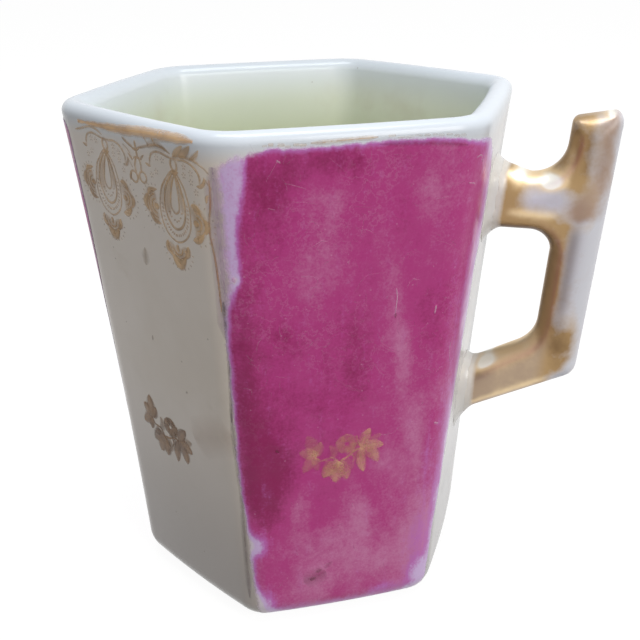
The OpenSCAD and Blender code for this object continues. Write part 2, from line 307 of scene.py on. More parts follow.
# A place on the outside of panel k: s mm along it from its middle, z mm up, lifted off the surface. Past a corner's
# crest the next panel carries on.
def onPanel(k, s, z, lift):
    reach = cupSector(0.0, z, 0.0)[2]
    over = np.round(s / (2 * reach))
    return onCup(k + over, s / reach - 2 * over, z, drawnIn(z) - lift)


# The whole shell: rings of six sectors carried along the profile from the middle of the recess under the foot, round
# the bottom edge, up the wall, over the lip and down to the middle of the floor
def makeCup():
    foot, lip, top, wall = cup["footRound"], cup["wall"] / 2, cup["height"], cup["wall"]
    floorZ, floorRound = cup["floorZ"], cup["floorRound"]
    outRings, lipRings, inRings = cup["outRings"], cup["lipRings"], cup["inRings"]
    quarter = np.pi / 2 * np.linspace(0, 1, cup["roundRings"])
    over = np.pi * np.linspace(0, 1, lipRings + 1)[1:]
    profile = [  # inset and height
        (foot * (1 - np.sin(quarter)), foot * (1 - np.cos(quarter))),
        (np.zeros(outRings), np.linspace(foot, top - lip, outRings + 1)[1:]),
        (lip * (1 - np.cos(over)), top - lip + lip * np.sin(over)),
        (np.full(inRings, wall), np.linspace(top - lip, floorZ + floorRound, inRings + 1)[1:]),
        (wall + floorRound * (1 - np.cos(quarter[1:])), floorZ + floorRound * (1 - np.sin(quarter[1:]))),
    ]
    inset = np.concatenate([p[0] for p in profile])[:, None]
    z = np.concatenate([p[1] for p in profile])[:, None]
    t = np.linspace(-1, 1, cup["perSector"], endpoint=False)[None, :]
    shell = np.concatenate([onCup(k, t, z, inset) for k in range(6)], 1)
    # rings on the recess under the foot, at the same bearings as the first ring
    bearing = np.arctan2(shell[0, :, 1], shell[0, :, 0])
    wide, deep, edge = cup["recessRadius"], cup["recessDepth"], cup["recessEdge"]
    flat = [(r, deep) for r in (4, 8, 12, 15.5, wide - edge)]
    turns = (0, 0.5, 1.0, 1.57)  # round the recess's two small edges
    hollowEdge = [(wide - edge * (1 - np.sin(a)), deep - edge * (1 - np.cos(a))) for a in turns[1:]]
    footEdge = [(wide + edge * (1 - np.cos(a)), edge * (1 - np.sin(a))) for a in turns]
    radius, depth = np.array(flat + hollowEdge + footEdge).T
    circles = np.stack([radius[:, None] * np.cos(bearing), radius[:, None] * np.sin(bearing),
                        depth[:, None] + 0 * bearing], -1)
    # rings that shrink over the floor
    shrink = np.array([0.75, 0.5, 0.25])[:, None, None]
    floor = shell[-1] * np.concatenate([shrink, shrink, shrink * 0 + 1], 2)
    grid = np.concatenate([circles, shell, floor])
    rows = len(grid)
    first = len(circles)
    inner = np.zeros(rows)
    inner[first + len(quarter) + outRings + lipRings // 2:] = 1
    bare = np.zeros(rows)  # from the recess's edge to the foot's flat
    bare[len(flat):first + 3] = 1
    u = np.linspace(0, 6, 6 * cup["perSector"] + 1)
    v = np.arange(rows) / rows
    uv = np.stack(np.broadcast_arrays(u[None, :], v[:, None]), -1)
    return gridMesh("porcelainCup", grid, wrap=True, capFirst=[0, 0, deep], capLast=[0, 0, floorZ],
                    uv=uv, paint={"inside": inner[:, None], "bareFoot": bare[:, None]})


# White glaze on the lip and inside, greener and darker lower down the inside, cream on the panels, warm stains that
# gather low and away from the handle's panel. Painted shade: the lip's white darker on the left and back, the cream
# darker towards the foot, the handle's panel darker low down and lighter above, and the inside darker on the side away
# from the handle.
def porcelainGlaze():
    material, tree, shader, where = newMaterial("porcelainGlaze")
    side, away, height = addNode(tree, "ShaderNodeSeparateXYZ", Vector=where).outputs
    # Painted shade: the lip's white is darker on the left and back, and lighter towards the right front
    lipLitShare = spread(tree, calc(tree, "SUBTRACT", side, away), -0.035, 0.04)
    white = blendColour(tree, lipLitShare, cup["shadedLipWhite"], cup["white"])
    blotch = noise(tree, where, 38, 4, 0.55)
    cream = fadeTo(tree, blotch, 0.35, 0.75, cup["cream"], cup["agedCream"])
    stains = noise(tree, where, 55, 5, 0.6, shift=(0.2, 0.5, 0.1))
    stains = calc(tree, "ADD", stains, spread(tree, height, 0.03, 0.0, 0.0, 0.12))
    cream = blendColour(tree, spread(tree, stains, 0.6, 0.85, 0.0, 0.4), cream, cup["stain"])
    # Painted shade: the cream darker towards the foot
    cream = fadeTo(tree, height, 0.052, 0.004, cream, cup["shadedLowCream"])
    # Painted light and shade on the handle's panel: darker low down, lighter higher up
    handleSide = fadeTo(tree, height, 0.018, 0.036, cup["shadedHandleLow"], cup["handleSide"])
    cream = fadeTo(tree, side, 0.026, 0.033, cream, handleSide)
    outside = fadeTo(tree, height, 0.0895, 0.0938, cream, white)
    # Painted light and shade inside: lighter on the handle's side, darker on the other
    inside = fadeTo(tree, side, -0.022, 0.022, cup["shadedInside"], cup["inside"])
    deep = fadeTo(tree, height, 0.091, 0.064, inside, cup["deepInside"])
    deep = fadeTo(tree, height, 0.058, 0.04, deep, cup["insideFloor"])
    warm = noise(tree, where, 48, 4, 0.55, shift=(0.7, 0.2, 0.4))
    deep = blendColour(tree, spread(tree, warm, 0.5, 0.72, 0.0, 0.2), deep, cup["stain"])
    deep = fadeTo(tree, height, 0.0945, 0.086, cup["insideLip"], deep)
    deep = fadeTo(tree, height, 0.0949, 0.0925, white, deep)
    colour = blendColour(tree, attributeOf(tree, "inside"), outside, deep)
    dirt = useGroup(tree, specks, Vector=where, Scale=420.0, Size=0.07, Amount=0.12)["Mask"]
    colour = blendColour(tree, calc(tree, "MULTIPLY", dirt, 0.45), colour, cup["dirt"])
    foot = attributeOf(tree, "bareFoot")
    colour = blendColour(tree, foot, colour, cup["bareFoot"])
    tree.links.new(colour, shader.inputs["Base Color"])
    dry = calc(tree, "MULTIPLY", foot, 0.75)
    glazeOver(tree, shader, where, peel=0.05, smear=0.05, least=0.2, bump=0.07, dry=dry)
    shader.inputs["IOR"].default_value = 1.5
    return material


# A mesh, lamp or camera put into the scene
def addObject(name, data):
    made = bpy.data.objects.new(name, data)
    bpy.context.scene.collection.objects.link(made)
    return made


# A piece on the cup's body, with its material, whether it is a painted film, and the solids that it stands for
def place(mesh, material, replaced=(), film=False):
    piece = addObject(mesh.name, mesh)
    piece.visible_shadow = not film  # a painted film shades nothing under it
    mesh.materials.append(material)
    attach(piece, "root")
    if replaced:
        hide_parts(*replaced)


porcelain = porcelainGlaze()
place(makeCup(), porcelain, ["cup_body"])
print("cup: shell, lip, foot and inside")

lustre = {
    "top": 93.3, "farTop": 92.9, "farEdge": -0.5, "wrap": 48.0, "corner": 3.6, "lift": 0.09, "skirt": 0.02,
    "waver": 0.03, "columns": 180, "rows": 230, "seed": 5, "farMarks": 22, "lowPale": 0.6,
    # the front coat's top edge: places along the panel, and how far the edge is from the top there
    "topEdge": ((-21, -19, -16.5, -13, -9, -4.5, 0, 5, 9, 13, 16, 18, 21),
                (-0.9, -0.7, -0.4, -0.1, -0.35, -0.25, -0.1, 0.0, 0.0, -0.15, -0.4, -0.7, -1.3)),
    "full": srgb(192, 61, 137), "dark": srgb(150, 21, 91), "pink": srgb(214, 132, 178), "violet": srgb(205, 116, 196),
    "lilac": srgb(227, 197, 242), "bare": srgb(232, 220, 230), "speck": srgb(228, 172, 206), "pit": srgb(92, 28, 56),
    # film left at shares of the slide, from the right edge in
    "slide": ((0, 0.1, 0.25, 0.42, 0.58, 0.72, 0.86, 1, 1.12, 1.3),
              (0.12, 0.3, 0.46, 0.56, 0.66, 0.77, 0.87, 0.94, 0.98, 1)),
    # each coat: panel, node, then for the left and the right edge heights, how far the colour passes the corner crest
    # there, and how wide its thin margin is. The front coat's left margin widens above z 70 into a pale lilac strip
    # that is a painted highlight on the corner.
    "lustreFront": (5, "lustre_panel_front",
                    ((0, 6, 12, 20, 25, 30, 50, 60, 66, 69, 72, 75, 80, 85, 89, 93),
                     (0.2, 0.4, 0.7, 0.9, 1.2, 1.6, 1.7, 1.6, 1.4, 1.0, 0.8, 0.8, 0.8, 0.8, 0.8, 0.8),
                     (1.9, 1.8, 1.2, 1.4, 1.2, 1.1, 1.1, 1.3, 1.6, 2.2, 2.9, 3.4, 3.4, 4.4, 5.4, 5.8)),
                    ((0, 6, 13, 22, 31, 40, 48, 57, 66, 72, 78, 84, 88, 90.5, 92, 93.3),
                     (1.0, 1.4, 1.9, 3.4, 5.2, 7.2, 8.6, 11.0, 12.0, 14.0, 15.0, 13.5, 11.0, 7.0, 3.0, -3.0),
                     (3.4, 3.4, 3.4, 5.0, 6.0, 8.0, 9.4, 12.5, 13.0, 13.5, 12.5, 11.5, 11.0, 7.5, 4.5, 2.5))),
    "lustreBack": (1, "lustre_panel_back", ((0, 93), (0.3, 0.8), (1.0, 1.5)),
                   ((0, 40, 93), (0.8, 2.0, 3.0), (2.0, 3.5, 4.5))),
    "lustreLeft": (3, "lustre_panel_left", ((0, 93), (0.2, 0.8), (1.2, 1.7)),
                   ((0, 30, 55, 66, 76, 93), (-1.0, -0.6, 0.4, 2.4, 3.2, 3.4), (0.6, 0.6, 0.7, 0.8, 0.8, 0.8))),
    # places where the front film has gone thin: s, z, half width, half length, lean, how much is lost; the third is the
    # pale spot at the foot of the painted highlight on the front's left corner
    "bald": [(-16.0, 18.6, 1.9, 2.6, 0, 0.65), (-15.4, 4.0, 2.8, 3.6, 0, 0.55), (-17.8, 71.8, 0.7, 1.0, 0, 0.4),
             (14.8, 6.0, 2.2, 4.5, 0, 0.55), (8.5, 4.4, 3.2, 1.3, 0, 0.3), (15.6, 30, 1.2, 9, 0, 0.2),
             (14.4, 16, 2.0, 5, 0, 0.25), (-14.0, 30.5, 1.0, 2.5, 0, 0.15)],
    # marks on the other panels are drawn at random, each of the same six values between two limits
    "farRanges": ((-17, 17), (6, 90), (1.8, 6), (4, 16), (-0.15, 0.15), (-0.7, 0.8)),
    # marks on the front panel: s, z, half width, half length, lean, strength (dark above 0, pale below 0)
    "marks": [(-12, 86, 5, 7, 0.1, 0.8), (0, 90, 14, 2.5, 0, 0.5), (-11, 63, 4, 7, 0, 0.35),
              (-14.0, 35, 4.4, 15, 0, 1.0), (0, 58, 6, 8, 0, 0.3), (2, 48, 3.4, 9, 0, 0.4),
              (-17.2, 58, 3.2, 20, 0, 0.6), (10, 79, 4, 9, -0.1, 0.35), (17, 62, 3, 12, 0.05, 0.2),
              (9.5, 56, 2.1, 20, -0.16, -0.85), (-3, 84, 6, 4, 0, -0.5), (3.5, 22, 2.2, 6, -0.1, -0.7),
              (-9, 27, 3, 3, 0, -0.5), (13, 25, 3, 20, 0, -0.35), (0, 14, 16, 10, 0, -0.3), (-13, 10, 3, 9, 0, 0.45),
              (-7, 70, 3, 10, 0, -0.25), (7, 34, 3, 4, 0, -0.5), (16, 18, 3, 14, 0.06, -0.5), (-12, 35, 4, 8, 0, 0.6),
              (14, 92, 8, 3, 0, -0.3), (6, 72, 7, 9, 0, -0.2), (-13, 25, 2.0, 5, 0, 0.5), (13, 82, 4, 12, -0.1, -0.4),
              (0, 5, 9, 4, 0, 0.5)],
}


# Soft strokes of the brush: each mark is a bell over its own turned ellipse
def brushField(s, z, marks):
    field = np.zeros(np.broadcast(s, z).shape)
    for ms, mz, wide, tall, lean, strength in marks:
        dz = z - mz
        ds = s - ms - lean * dz
        field += strength * np.exp(-(ds / wide) ** 2 - (dz / tall) ** 2)
    return field


# One coat: the panel's own surface between two slightly wavering edges, drawn in by a quarter circle at the top
# corners, and lifted by the coat's thickness except along its edges. film is how thick the colour lies: a thin margin
# and then a step on the left, a long slide on the right, and bells for the bald places. cover fades the coat out to its
# edges, and brush is its light and dark.
def makeCoat(name):
    k, node, leftEdge, rightEdge = lustre[name]
    front = k == 5
    rng = np.random.default_rng(lustre["seed"] + 7 * k)
    foot, corner, skirt = cup["footRound"], lustre["corner"], lustre["skirt"]
    top = lustre["top"] if front else lustre["farTop"]
    bottom = foot * (1 - np.cos(np.radians(90 - lustre["wrap"])))
    q = np.linspace(0, 1, lustre["rows"])
    low, crowd = 0.08, 1.25  # the lowest rows lie closer
    z = (bottom + (top - bottom) * np.where(q < low, q ** crowd / low ** (crowd - 1), q))[:, None]
    p = np.linspace(-1, 1, lustre["columns"])[None, :]
    reach = cupSector(0.0, z, 0.0)[2]
    up = np.clip(z - (top - corner), 0, corner)
    draw = corner - np.sqrt(corner ** 2 - np.minimum(up, corner * 0.995) ** 2)
    waves = [lustre["waver"] * np.sin(z * f + h) for f, h in zip(rng.uniform(0.2, 1.1, 8), rng.uniform(0, 6.28, 8))]
    left = -reach - np.interp(z, *leftEdge[:2]) + draw + sum(waves[:4])
    right = reach + np.interp(z, *rightEdge[:2]) - draw + sum(waves[4:])
    s = left + (right - left) * (p + 1) / 2
    inLeft, inRight = s - left, right - s
    below = top + (np.interp(s, *lustre["topEdge"]) if front else lustre["farEdge"]) - z
    off = np.minimum(np.minimum(inLeft, inRight), np.minimum(below, 9))
    grid = onPanel(k, s, z, skirt + (lustre["lift"] - skirt) * smooth(off, 0, 0.6))
    # The margin is the film running thin; on the front coat's upper left it widens into a painted highlight
    margin = np.interp(z, leftEdge[0], leftEdge[2]) - draw
    slide = np.interp(z, rightEdge[0], rightEdge[2])
    film = 0.42 * smooth(inLeft, 0, 1.5) + 0.58 * smooth(inLeft, margin - 0.8, margin + 1.2)
    film = film * np.interp(inRight / slide, *lustre["slide"])
    film = film * (0.55 + 0.45 * smooth(z, bottom, bottom + 3.6)) * (0.5 + 0.5 * smooth(below, 0.3, 2.0))
    film = film - (brushField(s, z, lustre["bald"]) if front else 0)
    cover = smooth(inLeft, 0, 2.2 + 1.2 * smooth(z, 62, 70)) * smooth(inRight, 0, 0.3 + 0.36 * slide)
    cover = cover * smooth(below, -0.1, 1.5 + (1.9 * smooth(s, -12.5, -17) if front else 0))
    marks = lustre["marks"]
    if not front:
        count = lustre["farMarks"]
        marks = np.stack([rng.uniform(lo, hi, count) for lo, hi in lustre["farRanges"]], -1)
    brush = brushField(s, z, marks) - lustre["lowPale"] * smooth(z, 34, 4)
    uv = np.stack(np.broadcast_arrays(s * mm, z * mm), -1)
    return gridMesh(name, grid, uv=uv, paint={"film": film, "brush": brush, "cover": cover}), node


# Purple-pink lustre: dark and pale with the brush, through violet to thin lilac where the film runs out, hazed by fine
# wear and a wool of hair scratches along the level lines of a noise, with a few pale specks and pits
def lustreGlaze():
    material, tree, shader, where = newMaterial("lustreGlaze")
    brush, film = attributeOf(tree, "brush"), attributeOf(tree, "film")
    height = addNode(tree, "ShaderNodeSeparateXYZ", Vector=where).outputs[2]
    streak = noise(tree, where, 130, 5, 0.6, stretch=(1, 1, 0.28))
    haze = noise(tree, where, 100, 8, 0.78, shift=(0.4, 0.9, 0.2))
    edgeGrain = noise(tree, where, 620, 4, 0.65)
    grainy = noise(tree, where, 2300, 2, 0.6)
    comb = noise(tree, where, 900, 3, 0.6, stretch=(1, 1, 0.1))
    tone = calc(tree, "ADD", brush, swing(tree, streak, 1.7))
    for value, share in ((haze, 2.2), (edgeGrain, 0.7), (grainy, 0.8)):
        tone = calc(tree, "ADD", tone, swing(tree, value, share))
    colour = fadeTo(tree, tone, 0.0, 1.2, lustre["full"], lustre["dark"])
    colour = fadeTo(tree, tone, 0.05, -1.3, colour, lustre["pink"])
    wool = calc(tree, "ABSOLUTE", swing(tree, noise(tree, where, 360, 6, 0.66, shift=(0.1, 0.3, 0.6)), 1.0))
    patchy = spread(tree, noise(tree, where, 70, 3, 0.6, shift=(0.8, 0.1, 0.5)), 0.42, 0.62)
    rubbed = calc(tree, "MULTIPLY", patchy, spread(tree, height, 0.035, 0.062, 0.03, 0.15))
    rubbed = calc(tree, "MULTIPLY", rubbed, spread(tree, wool, 0.03, 0.0))
    colour = blendColour(tree, rubbed, colour, lustre["speck"])
    ragged = film
    for value, share in ((edgeGrain, 0.3), (grainy, 0.25), (comb, 0.35)):
        ragged = calc(tree, "ADD", ragged, swing(tree, value, share))
    colour = fadeTo(tree, ragged, 0.98, 0.6, colour, lustre["violet"])
    colour = fadeTo(tree, ragged, 0.68, 0.38, colour, lustre["lilac"])
    colour = fadeTo(tree, ragged, 0.34, 0.06, colour, lustre["bare"])
    pale = useGroup(tree, specks, Vector=where, Scale=1300.0, Size=0.2, Amount=0.04)["Mask"]
    colour = blendColour(tree, calc(tree, "MULTIPLY", pale, 0.25), colour, lustre["speck"])
    pits = useGroup(tree, specks, Vector=where, Scale=330.0, Size=0.07, Amount=0.06)["Mask"]
    colour = blendColour(tree, calc(tree, "MULTIPLY", pits, 0.4), colour, lustre["pit"])
    tree.links.new(colour, shader.inputs["Base Color"])
    cover = attributeOf(tree, "cover")
    frayed = calc(tree, "ADD", cover, calc(tree, "ADD", swing(tree, edgeGrain, 0.7), swing(tree, comb, 0.5)))
    solid = calc(tree, "MULTIPLY", spread(tree, frayed, 0.15, 0.75), spread(tree, cover, 0.0, 0.15))
    tree.links.new(solid, shader.inputs["Alpha"])
    glazeOver(tree, shader, where, peel=0.1, smear=0.15, least=0.28, bump=0.12)
    shader.inputs["Specular IOR Level"].default_value = 0.35
    return material


lustreColour = lustreGlaze()
for coatName in ("lustreFront", "lustreBack", "lustreLeft"):
    coat, coatNode = makeCoat(coatName)
    place(coat, lustreColour, [coatNode], film=True)
print("lustre: three coats")

handle = {  # mm and degrees
    "gap": 12.0, "thick": 9.0, "uprightWidth": 8.4, "upperWidth": 9.6, "lowerWidth": 9.2, "upperZ": 77.0,
    "upperClimb": 1.6, "upperSag": 0.6, "lowerZ": 39.5, "lowerSlope": 27.0, "spurRise": 17.2, "spurSlope": 16.0,
    "spurInner": 1.4, "spurOuter": 2.4, "innerElbow": 6.8, "outerElbow": 3.0, "holeRound": 3.7, "saddleRound": 6.0,
    "collar": 1.4, "lap": 0.2, "into": 5.0, "squareness": 2.2, "rounding": 4.7, "cell": 0.32, "collarCell": 0.24,
    "soften": 22,
    # how the arms spread on to the wall: reach over the wall and length of the curve, above and below, and at the sides
    "upperFlare": ((1.2, 2.6), (3.0, 3.2)), "lowerFlare": ((1.2, 2.8), (2.8, 3.4)), "sideFlare": (2.0, 3.0),
    "flarePower": 2.2, "flareMost": 1.3,
    # The bright gold and the near white are painted reflection and highlight colours; the deep gold is also painted
    # shade
    "gold": srgb(172, 142, 101), "deepGold": srgb(104, 78, 52), "brightGold": srgb(232, 206, 164),
    "paintedHighlight": srgb(255, 253, 244), "rubbed": srgb(230, 230, 238), "copper": srgb(187, 157, 136),
    "beige": srgb(170, 151, 134), "bareRoot": srgb(228, 222, 214),
}


# A vector made one long
def unit(v):
    return v / np.linalg.norm(v)


# Arc of radius r that rounds the corner p between the directions u and v, from the u side to the v side
def roundCorner(p, u, v, r, count=14):
    half = np.arccos(np.clip(u @ v, -1, 1)) / 2
    centre = p + unit(u + v) * r / np.sin(half)
    a = p + u * r / np.tan(half) - centre
    b = p + v * r / np.tan(half) - centre
    sweep = np.arcsin(np.clip((a[0] * b[1] - a[1] * b[0]) / r ** 2, -1, 1))
    turn = np.arctan2(a[1], a[0]) + sweep * np.linspace(0, 1, count)
    return centre + r * np.stack([np.cos(turn), np.sin(turn)], -1)


# The outside of the handle's panel: its middle's distance out, less the parabola of its bow
def wallX(y, z):
    apothem = apothemAt(z)
    return apothem - cup["bow"] * (y / (apothem * tan30)) ** 2


taper = (cup["rimFlats"] - cup["baseFlats"]) / 2 / cup["height"]
upright = unit(np.array([taper, 1.0]))


# The upright's inner line, which leans out as the cup's wall does
def uprightInner(z):
    return np.array([wallX(0.0, handle["upperZ"]) + handle["gap"] + (z - handle["upperZ"]) * taper, z])


# A root on the wall at a height: at the collar's face, or back from it into the cup
def rootPoint(z, back=0.0):
    return np.array([wallX(0.0, z) + handle["collar"] - back, z])


# Where a line through p along a direction meets the upright's inner line moved out
def meetUpright(p, along, out):
    return p + along * (uprightInner(p[1])[0] + out - p[0]) / (along[0] - along[1] * taper)


slope = np.radians(handle["lowerSlope"])
armAlong = np.array([np.cos(slope), np.sin(slope)])
armNormal = np.array([-armAlong[1], armAlong[0]])
lowerHalf = handle["lowerWidth"] / 2
lowerRootHalf = lowerHalf / np.cos(slope)
upperHalf = handle["upperWidth"] / 2
upperBottom = handle["upperZ"] - upperHalf - handle["upperSag"]
upperRoot = (handle["upperZ"] + upperHalf + handle["upperClimb"], upperBottom)
lowerRoot = (handle["lowerZ"] + lowerRootHalf, handle["lowerZ"] - lowerRootHalf)


# The handle's outline in the XZ plane as two open chains: outside from the lower root round the elbow, spur and saddle
# to the upper root, and the finger hole's side back to the lower root
def handleChains():
    topWay = np.array([np.cos(np.radians(handle["spurSlope"])), np.sin(np.radians(handle["spurSlope"]))])
    spurTop = handle["upperZ"] + handle["spurRise"]
    outer = uprightInner(spurTop) + [handle["uprightWidth"], 0]
    inner = meetUpright(outer, topWay, 0.0)
    armStart = rootPoint(handle["lowerZ"])
    left = np.array([-1.0, 0.0])
    into = handle["into"]
    drop = into * np.tan(slope)
    outerElbow = meetUpright(armStart - armNormal * lowerHalf, armAlong, handle["uprightWidth"])
    innerElbow = meetUpright(armStart + armNormal * lowerHalf, armAlong, 0.0)
    outside = np.concatenate([
        rootPoint(lowerRoot[1], into)[None, :] - [0, drop],
        roundCorner(outerElbow, -armAlong, upright, handle["outerElbow"]),
        roundCorner(outer, -upright, -topWay, handle["spurOuter"]),
        roundCorner(inner, topWay, -upright, handle["spurInner"]),
        roundCorner(uprightInner(handle["upperZ"] + upperHalf), upright, left, handle["saddleRound"]),
        rootPoint(upperRoot[0])[None, :],
        rootPoint(upperRoot[0], into)[None, :] + [0, 0.6]])  # climbs a little inside the wall
    hole = np.concatenate([
        rootPoint(upperRoot[1], into)[None, :],
        roundCorner(uprightInner(upperBottom), left, -upright, handle["holeRound"]),
        roundCorner(innerElbow, upright, -armAlong, handle["innerElbow"]),
        rootPoint(lowerRoot[0], into)[None, :] - [0, drop]])
    return outside, hole


# Distance from each place to the nearest stretch of a chain of points
def chainDistance(x, z, chain):
    a, b = chain[:-1], chain[1:]
    way = b - a
    px, pz = x[..., None] - a[:, 0], z[..., None] - a[:, 1]
    f = np.clip((px * way[:, 0] + pz * way[:, 1]) / (way ** 2).sum(-1), 0, 1)
    return np.sqrt((px - f * way[:, 0]) ** 2 + (pz - f * way[:, 1]) ** 2).min(-1)


# True where a sideways ray crosses the closed outline an odd number of times
def insideOutline(x, z, outline):
    a, b = outline, np.roll(outline, -1, 0)
    spans = (a[:, 1] > z[..., None]) != (b[:, 1] > z[..., None])
    rise = np.where(b[:, 1] == a[:, 1], 1e-9, b[:, 1] - a[:, 1])
    cut = a[:, 0] + (z[..., None] - a[:, 1]) / rise * (b[:, 0] - a[:, 0])
    return ((spans & (x[..., None] < cut)).sum(-1) % 2) == 1


# Surface where a field on a block of cells passes through nothing: one point in each crossed cell, the mean of its
# edges' crossings, and one quad round each crossed edge
def netSurface(field, origin, step):
    sums = np.zeros(tuple(n - 1 for n in field.shape) + (3,))
    counts = np.zeros(sums.shape[:3])
    rings = []
    for axis in range(3):
        low = np.moveaxis(np.moveaxis(field, axis, 0)[:-1], 0, axis)
        high = np.moveaxis(np.moveaxis(field, axis, 0)[1:], 0, axis)
        crossed = (low > 0) != (high > 0)
        at = np.argwhere(crossed)
        crossing = at.astype(float)
        crossing[:, axis] += low[crossed] / (low[crossed] - high[crossed])
        u, v = (axis + 1) % 3, (axis + 2) % 3
        around = []
        for du, dv in ((-1, -1), (0, -1), (0, 0), (-1, 0)):
            cell = at.copy()
            cell[:, u] += du
            cell[:, v] += dv
            np.add.at(sums, tuple(cell.T), crossing)
            np.add.at(counts, tuple(cell.T), 1)
            around.append(cell)
        around = np.stack(around, 1)
        outward = low[crossed] > 0
        around[~outward] = around[~outward][:, ::-1]
        rings.append(around.reshape(-1, 3))
    used = counts > 0
    number = np.full(counts.shape, -1)
    number[used] = np.arange(used.sum())
    points = sums[used] / counts[used][:, None] * step + origin
    return points, number[tuple(np.concatenate(rings).T)].reshape(-1, 4)


# Distance in from the outline on a grid of places, softened away from the edge so that no ridge runs down the bars
def outlineDepth(outside, hole):
    cell = handle["cell"]
    outline = np.concatenate([outside, hole])
    lo, hi = outline.min(0) - 2.0, outline.max(0) + 2.0
    lo[0] = 26.0  # well inside the wall
    gx, gz = np.arange(lo[0], hi[0], cell), np.arange(lo[1], hi[1], cell)
    x, z = np.meshgrid(gx, gz, indexing="ij")
    depth = np.minimum(chainDistance(x, z, outside), chainDistance(x, z, hole))
    depth = np.where(insideOutline(x, z, outline), depth, -depth)
    soft = depth.copy()
    for blur in range(handle["soften"]):
        padded = np.pad(soft, 1, mode="edge")
        middle = padded[1:-1, 1:-1] * 4
        soft = (middle + padded[:-2, 1:-1] + padded[2:, 1:-1] + padded[1:-1, :-2] + padded[1:-1, 2:]) / 8
    return depth + (soft - depth) * smooth(depth, 0.4, 1.8), lo, hi


# Distance out from the handle's panel
def fromWall(p):
    return p[..., 0] - wallX(p[..., 1], p[..., 2])


# The handle is a pillow over its outline: half the thickness, times a rounded square of the distance in from the edge.
# Near the wall both grow with a power of the way left to go, which makes the spread of the collars.
def handleField(p, depth, lo, trim=0.0):
    cell, n = handle["cell"], handle["squareness"]
    i = np.clip((p[..., 0] - lo[0]) / cell, 0, depth.shape[0] - 1.001)
    j = np.clip((p[..., 2] - lo[1]) / cell, 0, depth.shape[1] - 1.001)
    i0, j0 = i.astype(int), j.astype(int)
    fi, fj = i - i0, j - j0
    d = (depth[i0, j0] * (1 - fi) * (1 - fj) + depth[i0 + 1, j0] * fi * (1 - fj)
         + depth[i0, j0 + 1] * (1 - fi) * fj + depth[i0 + 1, j0 + 1] * fi * fj)
    w, z = fromWall(p), p[..., 2]

    def flare(reach, length):
        return reach * np.clip(1 - w / length, 0, handle["flareMost"]) ** handle["flarePower"]

    (a, b), (c, e) = handle["upperFlare"], handle["lowerFlare"]
    middle = (handle["upperZ"], handle["lowerZ"])
    upper = np.where(z > middle[0], flare(*a), flare(*b))
    lower = np.where(z > middle[1], flare(*c), flare(*e))
    d = d + np.where(z > sum(middle) / 2, upper, lower) - trim
    half = handle["thick"] / 2 + flare(*handle["sideFlare"]) - trim
    return 1 - np.clip(1 - d / handle["rounding"], 0, 3) ** n - (np.abs(p[..., 1]) / half) ** n


# One stretch of the handle between two distances from the wall, as a net over its field whose points are then brought
# on to the true surface along its slope
def handleStretch(depth, lo, box, cell, near, far, trim):
    block = np.stack(np.meshgrid(*[np.arange(a, b, cell) for a, b in box], indexing="ij"), -1)
    w = fromWall(block)
    probe, most, blunt = 0.05, 0.15, 0.4  # how far apart the slope is read, the longest step, and how the ends are cut
    field = np.minimum(handleField(block, depth, lo, trim), blunt * np.minimum(w - near, far - w))
    points, quads = netSurface(field, block[0, 0, 0], cell)
    w = fromWall(points)
    free = (w > near + cell) & (w < far - cell)
    for settle in range(4):
        here = handleField(points, depth, lo, trim)
        way = np.stack([handleField(points + h, depth, lo, trim) - handleField(points - h, depth, lo, trim)
                        for h in np.eye(3) * probe], -1) / (2 * probe)
        step = -here[:, None] * way / np.maximum((way ** 2).sum(-1), 1e-4)[:, None]
        points = points + np.where(free[:, None], np.clip(step, -most, most), 0)
    return points, quads


# 1 at the middle, falling off as a bell over half
def bell(x, middle, half):
    return np.exp(-((x - middle) / half) ** 2)
